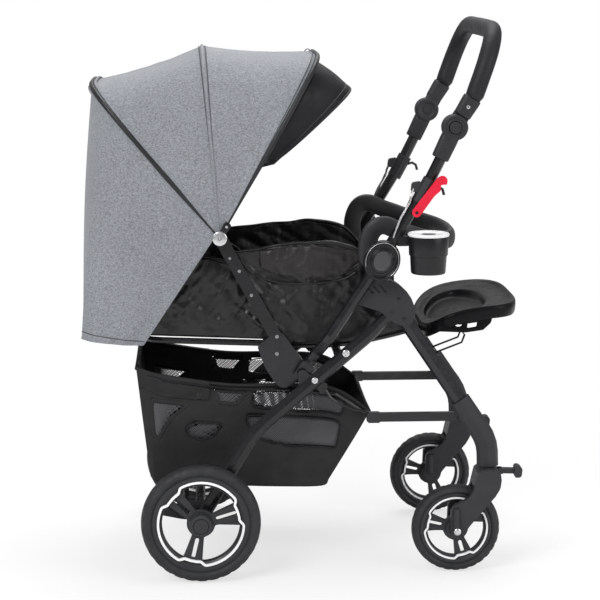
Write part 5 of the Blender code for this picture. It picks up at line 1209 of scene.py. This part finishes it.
def rear_band(side, suffix):
    """The solid cloth folded over the rear of the rim, held by a snap."""
    rows = []
    along, down = 60, 16
    for i in range(along + 1):
        u = BAND_LENGTH * i / along
        row = []
        for j in range(down + 1):
            v = BAND_DEPTH * j / down * (1 - 0.08 * sin(u * 20))
            place = wall_place(u, v, side)
            puff = 0.003 * sin(pi * min(1.0, j / 13)) ** 0.7 + 0.0017
            soft = crease((place.x * 0.8, side, place.z * 1.3), 26, 9.2) * 0.0014 * (j / down)
            lift = 0.0045 * (1 - j / down) ** 3
            row.append(place + Vector((0, side * (puff + soft), lift)))
        rows.append(row)
    piece = thicken(grid(f"basket_band_{suffix}", rows), 0.0018, -side)
    dress(piece, "basket_cloth", "rear_frame")
    for name, line in (("low", [r[-1] for r in rows]), ("end", rows[-1])):
        dress(sweep(f"band_{name}_{suffix}", [p + Vector((0, side * 0.0004, 0)) for p in line[::2]], 0.0013, 8),
              "basket_cloth", "rear_frame")
    place = rows[55][13]
    snap = turned(f"basket_snap_{suffix}", [
        (0.0, 0.0), (0.0062, 0.0), (0.0066, 0.001), (0.0058, 0.0024), (0.0036, 0.003), (0.0, 0.0026)],
        (place.x, place.z), place.y + side * 0.0004, side, 40)
    dress(snap, "plastic_gloss", "rear_frame")


for side, suffix in SIDES:
    rear_band(side, suffix)
basket_nets = [net(side, suffix) for side, suffix in SIDES]
for side, suffix in SIDES:
    binding(f"basket_binding_{suffix}", rim_line(basket_rows[::4], side), 0.004, "basket_cloth", "rear_frame")
for name, row in (("rear", basket_rows[0]), ("front", basket_rows[-1])):
    ends = [row[0], row[0].lerp(row[-1], 0.33) + Vector((0, 0, -0.004)),
            row[0].lerp(row[-1], 0.67) + Vector((0, 0, -0.004)), row[-1]]
    binding(f"basket_binding_{name}", ends, 0.004, "basket_cloth", "rear_frame")


# Wheels

LINE_STEPS = 240


def tyre(name, centre, radius, depth, width, body):
    """Rounded tyre with a moulded side line and shallow tread cuts."""
    inner = radius - depth
    half = width / 2
    profile = [(inner - 0.0002, -half * 0.6), (inner + depth * 0.1, -half * 0.8)]
    steps = 22
    for i in range(steps + 1):
        a = radians(lerp(-92, 92, i / steps))
        profile.append((inner + depth * (0.3 + 0.7 * abs(cos(a)) ** 0.85), half * sin(a)))
    profile += [(inner + depth * 0.1, half * 0.8), (inner - 0.0002, half * 0.6)]
    rows = []
    for k, turn in enumerate(around(180)):
        row = []
        for r, y in profile:
            share = abs(y) / half
            if r > radius - depth * 0.42:
                lane = 0 if y < 0 else 3
                cut = (k + lane) % 6 in (0, 1) and 0.28 < share < 0.92
                r -= 0.0011 if cut else 0.0
                r -= 0.0008 if 0.12 < share < 0.22 else 0.0
            row.append(Vector((centre[0] + r * cos(turn), centre[1] + y, centre[2] + r * sin(turn))))
        rows.append(row)
    piece = grid(name, rows, closed_rows=True, closed_ends=True)
    return dress(piece, "tyre", body)


def rounded(outline, radius, count=4):
    made = []
    total = len(outline)
    for i, corner in enumerate(outline):
        corner = Vector(corner)
        back, ahead = Vector(outline[i - 1]) - corner, Vector(outline[(i + 1) % total]) - corner
        if back.length < radius or ahead.length < radius:
            made.append(corner)
            continue
        reach = min(radius, back.length * 0.45, ahead.length * 0.45)
        start, end = corner + back.normalized() * reach, corner + ahead.normalized() * reach
        made += bend(start, corner, end, count)
    return made


def flat_plate(name, outlines, thickness, bevel, y):
    """A flat moulding in the side plane with holes and rounded edges."""
    curve = bpy.data.curves.new(name, "CURVE")
    curve.dimensions = "2D"
    curve.fill_mode = "BOTH"
    curve.extrude = thickness / 2 - bevel
    curve.bevel_depth = bevel
    curve.bevel_resolution = 2
    curve.offset = -bevel
    for outline in outlines:
        line = curve.splines.new("POLY")
        line.points.add(len(outline) - 1)
        for point, (x, z) in zip(line.points, outline):
            point.co = (x, z, 0, 1)
        line.use_cyclic_u = True
    holder = place_object(name, curve)
    bpy.context.view_layer.update()
    mesh = bpy.data.meshes.new_from_object(holder.evaluated_get(bpy.context.evaluated_depsgraph_get()))
    bpy.data.objects.remove(holder)
    mesh.transform(Matrix.Translation((0, y, 0)) @ Matrix.Rotation(radians(90), 4, "X"))
    reshape(mesh, weld)
    mesh.shade_smooth()
    return sharpen(place_object(name, mesh), 38)


def hub_oval(across, along, steps=96):
    """The tilted oval of the latch cover."""
    tilt = radians(20)
    made = []
    for turn in around(steps):
        u, v = across * cos(turn), along * sin(turn)
        made.append(HUB_CENTRE + Vector((u * cos(tilt) + v * sin(tilt),
                                         -u * sin(tilt) + v * cos(tilt))))
    return made


def circle(centre, radius, steps=96):
    return [polar(centre, radius, 360 * i / steps) for i in range(steps)]


def spoke_openings(centre, inner, outer, hub_width, rim_width, phase):
    made = []
    for i in range(3):
        left, right = phase + i * 120, phase + i * 120 + 120
        near = degrees(asin(hub_width / 2 / inner))
        far = degrees(asin(rim_width / 2 / outer))
        outline = [polar(centre, outer, lerp(left + far, right - far, k / 22)) for k in range(23)]
        outline += [polar(centre, inner, lerp(right - near, left + near, k / 5)) for k in range(6)]
        made.append(outline)
    return made


def slot_outline(start, end, width, count=6):
    along = (end - start).normalized()
    across = Vector((-along[1], along[0]))
    made = []
    for middle, sign in ((start, -1), (end, 1)):
        for k in range(count + 1):
            turn = pi * k / count - pi / 2
            made.append(middle + (along * cos(turn) * sign + across * sin(turn) * sign) * width / 2)
    return made


def wheel(kind, suffix, side, centre, half, radius, depth, width, hub_radius, phase, hub_in, hub_out):
    middle, body = spot(centre, side * half), f"{kind}_wheel_{suffix}"
    tyre_piece = tyre(f"{kind}_wheel_tyre_{suffix}", middle, radius, depth, width, body)
    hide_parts(f"{kind}_tyre_{suffix}")
    rim_radius = radius - depth
    face = width * 0.3
    opening = rim_radius * 0.8
    outer = [(rim_radius + 0.0004, face), (rim_radius - 0.003, face + 0.0014), (rim_radius * 0.915, face + 0.0006),
             (rim_radius * 0.875, face - 0.0022), (opening * 1.015, 0.0062), (opening * 0.995, 0.004)]
    inner = [(r, -y) for r, y in outer]
    hoop = sharpen(lathe("hoop", [inner[0], *outer, *inner[:0:-1]], middle, side, 128), 40)
    openings = [rounded(o, 0.006, 3) for o in spoke_openings(
        centre, hub_radius * 1.25, opening, hub_radius * 1.05, hub_radius * 1.7, phase)]
    slots = []
    for i in range(3):
        a = polar(centre, hub_radius * 1.52, phase + 120 * i)
        b = polar(centre, opening * 0.9, phase + 120 * i)
        slots.append(slot_outline(a, b, hub_radius * 0.34))
    web = flat_plate("web", [circle(centre, opening * 1.01, 128), *openings, *slots], 0.0104, 0.0014, side * half)
    r = hub_radius
    cap = lathe("cap", [(0.0, -hub_in), (r * 0.9, -hub_in), (r, -hub_in + 0.0015), (r, hub_out - 0.004),
                        (r * 0.9, hub_out - 0.0012), (r * 0.72, hub_out - 0.0012), (r * 0.7, hub_out - 0.0024),
                        (r * 0.64, hub_out - 0.0024), (r * 0.62, hub_out), (r * 0.25, hub_out + 0.0003),
                        (0.0, hub_out + 0.0003)], middle, side, 64, closed=False)
    rim = join(f"{kind}_wheel_rim_{suffix}", [hoop, web, sharpen(cap, 40)])
    dress(rim, "rim_black", body)
    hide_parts(f"{kind}_rim_{suffix}")
    # The white line dips inwards where each spoke meets the rim
    line = []
    for k in range(LINE_STEPS):
        angle = 360 * k / LINE_STEPS
        nearest = min(abs((angle - phase - 120 * i + 180) % 360 - 180) for i in range(3))
        dip = smooth_step((20 - nearest) / 9)
        line.append(polar(centre, rim_radius * (0.874 - 0.085 * dip), angle))
    for way, name in ((1, "out"), (-1, "in")):
        y = side * half + way * side * (face + 0.0007)
        low = y - way * side * 0.0056
        rows = []
        for k, p in enumerate(line):
            along = (line[(k + 1) % LINE_STEPS] - line[k - 1]).normalized()
            across = Vector((-along[1], along[0])) * (rim_radius * 0.024)
            rows.append([spot(p - across, low), spot(p - across, y), spot(p + across, y), spot(p + across, low)])
        ring = grid(f"{kind}_line_{name}_{suffix}", rows, closed_rows=True, closed_ends=True)
        dress(sharpen(ring, 30), "white_line", body)


for side, suffix in SIDES:
    wheel("rear", suffix, side, REAR_AXLE, REAR_WHEEL_HALF, radius=0.12, depth=0.022, width=0.038,
          hub_radius=0.023, phase=17, hub_in=0.0225, hub_out=0.0285)
    wheel("front", suffix, side, FRONT_AXLE, FRONT_WHEEL_HALF, radius=0.09, depth=0.017, width=0.034,
          hub_radius=0.021, phase=47, hub_in=0.017, hub_out=0.017)


# Foot tray

TRAY_REAR, TRAY_FRONT, TRAY_HALF, TRAY_DEPTH = Vector((0.25, 0.481)), 0.448, 0.17, 0.028
TRAY_PIVOT = Vector((0.236, 0.47))


def tray_rim(x):
    return TRAY_REAR[1] + 0.061 * (1 - exp(-max(0.0, x - TRAY_REAR[0]) / 0.048))


def tray_row(share, squareness, drop, shift=0.0):
    half = (TRAY_FRONT - TRAY_REAR[0]) / 2
    row = []
    for turn in around(144):
        c, s = cos(turn), sin(turn)
        x = TRAY_REAR[0] + half + shift + power(c, squareness) * half * share[0]
        y = power(s, squareness) * TRAY_HALF * share[1]
        row.append(Vector((x, y, tray_rim(x) - drop)))
    return row


def foot_tray():
    """Rolled outer skirt, a rounded rim, a wide shelf and an oval pool, in one moulding."""
    outer = [((0.97, 0.975), 0.52, 0.0275), ((0.99, 0.99), 0.52, 0.0235), ((1.0, 1.0), 0.52, 0.012),
             ((1.0, 1.0), 0.52, 0.0045), ((0.992, 0.994), 0.53, 0.0014), ((0.978, 0.984), 0.54, 0.0),
             ((0.956, 0.968), 0.56, 0.0003), ((0.93, 0.945), 0.58, 0.0026),
             ((0.905, 0.92), 0.6, 0.0062), ((0.8, 0.85), 0.7, 0.0082, -0.006),
             ((0.68, 0.79), 0.82, 0.0096, -0.015), ((0.64, 0.765), 0.9, 0.0108, -0.018),
             ((0.622, 0.75), 0.92, 0.0135, -0.0185), ((0.61, 0.738), 0.93, 0.018, -0.019),
             ((0.595, 0.722), 0.94, 0.023, -0.0195), ((0.565, 0.69), 0.95, 0.0266, -0.02),
             ((0.5, 0.63), 0.96, TRAY_DEPTH, -0.02), ((0.26, 0.34), 0.97, TRAY_DEPTH, -0.02),
             ((0.02, 0.02), 1.0, TRAY_DEPTH, -0.02)]
    rows = [tray_row(*entry) for entry in outer]
    return sharpen(thicken(grid("tray_moulding", rows, closed_rows=True), 0.0034, -1.0, use_even_offset=False), 60)


def rib_outline():
    under = [Vector((x, tray_rim(x) - TRAY_DEPTH - 0.0025))
             for x in (0.278, 0.3, 0.32, 0.345, 0.365, 0.388, 0.41)]
    return [TRAY_PIVOT + Vector((-0.006, -0.005)), TRAY_PIVOT + Vector((-0.004, 0.008)), *under,
            Vector((0.402, 0.48)), Vector((0.386, 0.465)), Vector((0.35, 0.46)), Vector((0.262, 0.464))]


tray = foot_tray()
ribs = []
for side, suffix in SIDES:
    windows = [rounded([(0.284, 0.4725), (0.3, 0.4725), (0.3065, 0.488), (0.294, 0.489)], 0.003),
               circle((0.334, 0.481), 0.009, 40),
               rounded([(0.352, 0.469), (0.372, 0.472), (0.374, 0.49), (0.354, 0.49)], 0.003)]
    ribs.append(flat_plate(f"tray_rib_{suffix}", [rounded(rib_outline(), 0.003), *windows], 0.006, 0.0008,
                           side * 0.045))
rod = sweep("tray_rod", [spot(TRAY_PIVOT, end) for end in (-0.2005, 0.2005)], 0.006, 40)
bridge = sweep("tray_bridge", [(0.386, -0.047, 0.478), (0.386, 0.047, 0.478)], [0.0068, 0.0068], 24, 0.55)
tray = join("foot_tray_moulding", [tray, *ribs, rod, bridge])
dress(tray, "tray_black", "foot_rest")
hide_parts("foot_tray")


# Foam pieces

def handle_path():
    """The middle line of the grip, from the right cuff over the arch to the left cuff."""
    along = (GRIP_FOOT - HEIGHT_JOINT).normalized()
    first, foot = [spot(HEIGHT_JOINT + along * reach, -HANDLE_HALF) for reach in (0.0663, 0.076)]
    corner, top = Vector((0.377, -HANDLE_HALF, 1.093)), Vector((0.378, 0, 1.094))
    rise = corner + (foot - corner).normalized() * 0.1
    turn = corner + (top - corner).normalized() * 0.1
    right = [first] + [foot.lerp(rise, k / 4) for k in range(4)]
    right += bend(rise, corner, turn, 20)[:-1]
    right += [turn.lerp(top, k / 10) for k in range(11)]
    return right + [flipped(p) for p in reversed(right[:-1])]


grip_path = handle_path()
GRIP_RADIUS = 0.0185
radii = []
for i in range(len(grip_path)):
    end = min(i, len(grip_path) - 1 - i)
    radii.append(GRIP_RADIUS * (0.86, 0.985)[min(end, 1)] + wrinkle(grip_path[i], 30, 1.0) * 0.0003)
grip = sweep("grip_sleeve", grip_path, radii, 28)
dress(grip, "grip_foam", "handle_upper")
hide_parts("handle_grip")


# Small fasteners and trims

def rivet_group(name, body, places, height=0.0016):
    """Rivets on both sides: places are ((x, z), y, radius, finish)."""
    pieces = []
    for place, y, radius, finish in places:
        profile = [(0.0, -0.0005), (radius, -0.0005), (radius, height * 0.4), (radius * 0.86, height * 0.85),
                   (radius * 0.5, height), (radius * 0.42, height * 0.9), (radius * 0.38, height * 0.35),
                   (0.0, height * 0.35)]
        for side, _ in SIDES:
            piece = turned("rivet", profile, place, side * y, side, 24)
            piece.data.materials.append(M[finish])
            pieces.append(piece)
    made = join(name, pieces)
    made.data.shade_smooth()
    dress(sharpen(made, 35), None, body)


def leg_half(x):
    share = (FOLD_PIVOT[0] - x) / (FOLD_PIVOT[0] + 0.209)
    return lerp(0.2125, 0.238, min(1.0, max(0.0, share)))


rivet_group("rear_frame_rivets", "rear_frame", [
    ((0.0212, 0.3995), leg_half(0.0212) + 0.007, 0.0062, "steel"),
    ((0.084, 0.4535), leg_half(0.084) + 0.007, 0.0072, "steel")])
rivet_group("arm_rivets", "arm_frame", [
    ((-0.053, 0.483), 0.1935, 0.004, "zinc"), ((-0.053, 0.448), 0.1935, 0.004, "zinc"),
    ((-0.147, 0.643), 0.193, 0.003, "zinc"), ((-0.128, 0.617), 0.193, 0.0036, "zinc"),
    ((-0.104, 0.568), 0.193, 0.0036, "zinc")])
rivet_group("bracket_rivets", "front_frame", [
    ((0.189, 0.564), 0.2285, 0.0032, "frame_black"), ((0.2, 0.523), 0.2285, 0.0034, "frame_black"),
    (FOLD_PIVOT, 0.2285, 0.004, "plastic_dark")])

# Smooth mouldings of the handle

LATCH_FACE, LATCH_HIGHLIGHT_LINE, NECK_OUT, ROD_OUT = 0.2463, 0.2614, 0.2312, 0.2495
JOINT_ALONG = (HEIGHT_JOINT - TUBE_TOP).normalized()
UPPER_ALONG = (GRIP_FOOT - HEIGHT_JOINT).normalized()


def barrel(name, stations, y, squareness=0.62, steps=56):
    """A sleeve with a rounded box section: stations are (place, half width, half height seen from the side)."""
    rows = []
    for i, (place, wide, tall) in enumerate(stations):
        along = slope([station[0] for station in stations], i).normalized()
        across = Vector((-along[1], along[0]))
        row = []
        for turn in around(steps):
            c, s = cos(turn), sin(turn)
            out = power(c, squareness) * wide
            up = power(s, squareness) * tall
            row.append(Vector((place[0] + across[0] * up, y + out, place[1] + across[1] * up)))
        rows.append(row)
    return sharpen(capped(grid(name, rows, closed_rows=True)), 55)


def sleeve_stations(start, along, first, last, wide, tall_first, tall_last):
    """Places along a sleeve, its ends rounded off."""
    made, inset = [], (0, 0.0009, 0.0026)
    for k in range(13):
        share = k / 12
        ends = min(k, 12 - k)
        size = (0.86, 0.955, 0.99)[ends] if ends < 3 else 1.0
        reach = lerp(first, last, share) if ends > 2 else first + inset[ends] if k < 3 else last - inset[ends]
        tall = lerp(tall_first, tall_last, smooth_step(share))
        made.append((start + along * reach, wide * size, tall * size))
    return made


for side, suffix in SIDES:
    y = side * HANDLE_HALF
    face = turned(f"joint_disc_{suffix}", [
        (0.0, 0.0005), (0.0245, 0.0005), (0.0255, 0.0015), (0.0255, 0.0108), (0.0249, 0.0126), (0.0232, 0.014),
        (0.0205, 0.0145), (0.0186, 0.0143), (0.0178, 0.0134), (0.0168, 0.0134), (0.016, 0.0143), (0.0142, 0.0145),
        (0.0128, 0.014), (0.0126, 0.0132), (0.0126, 0.0082), (0.0, 0.0082)], HEIGHT_JOINT, y, side, 96, 50)
    low = barrel(f"lower_cuff_{suffix}",
                 sleeve_stations(HEIGHT_JOINT, -JOINT_ALONG, 0.018, 0.068, 0.013, 0.018, 0.0172), y)
    made = join(f"height_joint_moulding_{suffix}", [face, low])
    dress(made, "plastic_dark", "handle_lower")
    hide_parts(f"height_joint_{suffix}")
    button = turned(f"button_{suffix}", [
        (0.0, 0.0128), (0.011, 0.0128), (0.0117, 0.0136), (0.0117, 0.0176), (0.011, 0.019), (0.0092, 0.0195),
        (0.0064, 0.0191), (0.0, 0.0184)], HEIGHT_JOINT, y, side, 72)
    dress(button, "plastic_dark", f"joint_button_{suffix}")
    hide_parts(f"joint_button_{suffix}")

    rows = []
    for scale, height in ((0.0, 0.0), (0.985, 0.0), (1.0, 0.001), (1.0, 0.0096), (0.992, 0.0124), (0.965, 0.0143),
                          (0.925, 0.015), (0.865, 0.015), (0.835, 0.0143), (0.815, 0.0126), (0.79, 0.012),
                          (0.64, 0.012), (0.62, 0.0128), (0.605, 0.0144), (0.58, 0.0152), (0.0, 0.0152)):
        rows.append([spot(p, side * (LATCH_FACE + height)) for p in hub_oval(0.036 * scale, 0.041 * scale)])
    hub = grid(f"latch_cover_{suffix}", rows, closed_rows=True)
    reshape(hub.data, weld)
    dress(sharpen(hub, 55), "plastic_gloss", "handle_lower")
    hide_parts(f"latch_hub_{suffix}")
    # A thin bright steel crescent round the latch cover: a painted highlight along the cover's edge.
    line = [spot(p, side * LATCH_HIGHLIGHT_LINE) for p in hub_oval(0.0322, 0.0368)]
    dress(sweep(f"hub_line_{suffix}", line[-10:] + line[:58], 0.00055, 8), "steel", "handle_lower")

uppers = []
for side, suffix in SIDES:
    y = side * HANDLE_HALF
    cuff = barrel(f"upper_cuff_{suffix}",
                  sleeve_stations(HEIGHT_JOINT, UPPER_ALONG, 0.0265, 0.0668, 0.0135, 0.0172, 0.0188), y)
    inner = turned(f"inner_disc_{suffix}", [
        (0.0, -0.0005), (0.0245, -0.0005), (0.0255, -0.0015), (0.0255, -0.012), (0.0245, -0.0138),
        (0.022, -0.0145), (0.0165, -0.0145), (0.0155, -0.0135), (0.0095, -0.0135), (0.0088, -0.0145),
        (0.0, -0.0145)], HEIGHT_JOINT, y, side, 96, 50)
    neck = barrel(f"upper_neck_{suffix}", [(HEIGHT_JOINT + UPPER_ALONG * d, 0.0062, w) for d, w in (
        (0.01, 0.0165), (0.016, 0.017), (0.024, 0.017), (0.03, 0.0168))], side * NECK_OUT)
    uppers += [cuff, inner, neck]
upper = join("upper_cuffs", uppers)
dress(upper, "plastic_dark", "handle_upper")
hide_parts("handle_bar")
rivet_group("upper_cuff_rivets", "handle_upper", [
    (HEIGHT_JOINT + UPPER_ALONG * 0.047, HANDLE_HALF + 0.0128, 0.004, "steel")])
rivet_group("lower_cuff_rivets", "handle_lower", [
    (HEIGHT_JOINT - JOINT_ALONG * 0.051, HANDLE_HALF + 0.0123, 0.004, "plastic_dark")])

# Cup and its clip
CUP_RADIUS, CUP_FOOT = 0.04, Vector((0.2435, -0.258, 0.62))
cup = lathe("cup", [(CUP_RADIUS * share, height) for share, height in (
    (0.0, 0.0), (0.8, 0.0), (0.845, 0.0016), (0.862, 0.0048), (0.905, 0.03458), (0.912, 0.03572), (0.95, 0.036632),
    (0.96, 0.038), (0.998, 0.07486), (0.99, 0.076), (0.945, 0.076), (0.935, 0.07448), (0.895, 0.03876),
    (0.845, 0.03496), (0.8, 0.004), (0.0, 0.0035))], CUP_FOOT, 1, 96, axis="Z", closed=False)
sharpen(cup, 40)
clip = flat_plate("cup_clip", [rounded([(0.1825, 0.6725), (0.2045, 0.6725), (0.2125, 0.676), (0.2125, 0.689),
                                        (0.2045, 0.692), (0.1825, 0.692)], 0.003)], 0.018, 0.0012, -HANDLE_HALF)
cup = join("cup_moulding", [cup, clip])
dress(cup, "plastic_gloss", "handle_lower")
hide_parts("cup_holder")

# Steel pull rods
for side, suffix in SIDES:
    ear = Vector((0.2155, 0.788))
    low = HUB_CENTRE + (TUBE_TOP - HUB_CENTRE).normalized() * 0.048 + Vector((-0.004, 0.003))
    rod_y = side * ROD_OUT
    rod = sweep(f"pull_rod_{suffix}", spline([
        (ear[0] - 0.0005, side * 0.2412, ear[1] - 0.001), (ear[0] - 0.006, side * 0.2485, ear[1] - 0.014),
        (ear[0] - 0.01, rod_y, ear[1] - 0.03), (lerp(ear[0], low[0], 0.65), rod_y, lerp(ear[1], low[1], 0.62)),
        (low[0] + 0.001, rod_y, low[1] - 0.001)], 8), 0.0023, 16)
    dress(rod, "steel", f"pull_slider_{suffix}")

# Canopy pivot caps, fork bolts and latch discs
PIVOT_CAP_FACE = 0.2156
for side, suffix in SIDES:
    disc = turned(f"canopy_disc_{suffix}", [
        (0.0, 0.0), (0.0135, 0.0), (0.0142, 0.0008), (0.0142, 0.003), (0.013, 0.0038), (0.0045, 0.004),
        (0.0035, 0.0032), (0.0022, 0.0014), (0.0, 0.0012)], CANOPY_PIVOT, side * PIVOT_CAP_FACE, side, 48, 35)
    dress(disc, "steel", "arm_frame")
    bolt = turned(f"fork_bolt_{suffix}", [
        (0.0, 0.0), (0.0078, 0.0), (0.0078, 0.0022), (0.0066, 0.004), (0.003, 0.0048), (0.0, 0.0048)],
        FRONT_AXLE, side * (FRONT_WHEEL_HALF + 0.0345), side, 32)
    dress(bolt, "steel", f"caster_{suffix}")
    disc = flat_plate(f"hub_disc_{suffix}", [hub_oval(0.0165, 0.02)], 0.0016, 0.0005, side * 0.262)
    dress(disc, "disc_grey", "handle_lower")

# Sockets that hold the front bow's ends
for side, suffix in SIDES:
    outline = [polar(CANOPY_PIVOT, reach, FRONT_ANGLE + turn) for reach, turn in (
        (0.0165, -24), (0.034, -13.5), (0.0365, -6.0), (0.0365, 6.0), (0.034, 13.0), (0.0165, 24))]
    socket = flat_plate(f"bow_socket_{suffix}", [rounded(outline, 0.004)], 0.003, 0.001, side * 0.219)
    dress(socket, "plastic_gloss", "canopy_front")
rivet_group("bow_socket_rivets", "canopy_front", [
    (polar(CANOPY_PIVOT, 0.0275, FRONT_ANGLE), 0.2202, 0.003, "steel")])

# Cup lid with a drinking slot
lid = lathe("cup_lid", [(0.0, 0.0), (0.037, 0.0), (0.0385, 0.0012), (0.0405, 0.004), (0.0412, 0.0068),
                        (0.04, 0.0086), (0.0376, 0.0082), (0.0362, 0.0062), (0.0, 0.0058)],
            CUP_FOOT + Vector((0, 0, 0.0715)), 1, 64, axis="Z", closed=False)
dress(sharpen(lid, 40), "lid_white", "handle_lower")
slot_line = [CUP_FOOT + Vector((0.014 * cos(a), 0.007 * sin(a), 0.0779))
             for a in around(32)]
mouth = make_object("cup_lid_mouth", slot_line + [p + Vector((0, 0, 0.0006)) for p in slot_line],
                    [tuple(range(32)), tuple(range(32, 64)),
                     *[(k, (k + 1) % 32, 32 + (k + 1) % 32, 32 + k) for k in range(32)]], False)
dress(mouth, "plastic_dark", "handle_lower")


# Stage, light and camera

def stage_material(name, colour, glow, near, far):
    """Pale floor that keeps the shadow near the stroller and runs out to white around it."""
    made = Finish(name, colour, 0.9, Specular_IOR_Level=0.1)
    made.colour(made.ramp(made.noise(1.5, 2), tone(colour, 0.995), colour))
    reach = made.node("VectorMath", operation="LENGTH")
    made.link(made.node("NewGeometry").outputs["Position"], reach.inputs[0])
    part = made.node("Math", operation="MULTIPLY")
    made.link(made.node("LightPath").outputs["Is Camera Ray"], part.inputs[0])
    made.link(made.mapped(reach.outputs["Value"], near, far, glow, 1.0, interpolation_type="SMOOTHSTEP"),
              part.inputs[1])
    light = made.node("Emission", Color=(1, 1, 1, 1), Strength=1.0)
    mix = made.node("MixShader")
    for socket, value in enumerate((part.outputs[0], made.shader.outputs[0], light.outputs[0])):
        made.link(value, mix.inputs[socket])
    made.link(mix.outputs[0], made.tree.nodes["Material Output"].inputs["Surface"])
    return made.material


floor = make_object("stage_floor", [(x, y, -0.0005) for x, y in ((-14, -14), (14, -14), (14, 14), (-14, 14))],
                    [(0, 1, 2, 3)], False)
floor.data.materials.append(stage_material("stage_floor", (0.9, 0.9, 0.9), glow=0.66, near=0.55, far=1.3))

world = bpy.data.worlds.new("studio")
bpy.context.scene.world = world
world.use_nodes = True
tree = world.node_tree
background, white = tree.nodes["Background"], tree.nodes.new("ShaderNodeBackground")
for node, strength in ((background, 0.4), (white, 1.0)):
    node.inputs["Color"].default_value = (1, 1, 1, 1)
    node.inputs["Strength"].default_value = strength
paths, mix = tree.nodes.new("ShaderNodeLightPath"), tree.nodes.new("ShaderNodeMixShader")
for socket, value in enumerate((paths.outputs["Is Camera Ray"], background.outputs[0], white.outputs[0])):
    tree.links.new(value, mix.inputs[socket])
tree.links.new(mix.outputs[0], tree.nodes["World Output"].inputs["Surface"])


def aim(holder, direction):
    holder.rotation_mode = "QUATERNION"
    holder.rotation_quaternion = direction.to_track_quat("-Z", "Y")


def lamp(name, place, target, size, watts):
    light = bpy.data.lights.new(name, "AREA")
    light.energy = watts
    light.size = size
    holder = place_object(name, light)
    holder.location = place
    aim(holder, Vector(target) - Vector(place))


for entry in (("key", (-2.2, -3.0, 3.2), (0, 0, 0.5), 2.0, 120), ("fill", (2.8, -2.2, 1.6), (0, 0, 0.5), 2.0, 40),
              ("top", (0.2, 0.6, 3.6), (0, 0, 0.5), 2.2, 72), ("back", (0.5, 2.6, 3.4), (0, 0, 0.6), 2.4, 26)):
    lamp(*entry)

camera = place_object("camera", bpy.data.cameras.new("camera"))
camera.data.lens = 118.8
camera.data.sensor_width = 36
camera.data.clip_end = 60
camera.location = (-0.21674, -4.10251, 1.22976)
heading, pitch = radians(3.0772), radians(-9.7436)
look = Vector((sin(heading) * cos(pitch), cos(heading) * cos(pitch), sin(pitch)))
aim(camera, look)
bpy.context.scene.camera = camera
bpy.context.scene.view_settings.view_transform = "Standard"

bpy.context.view_layer.update()
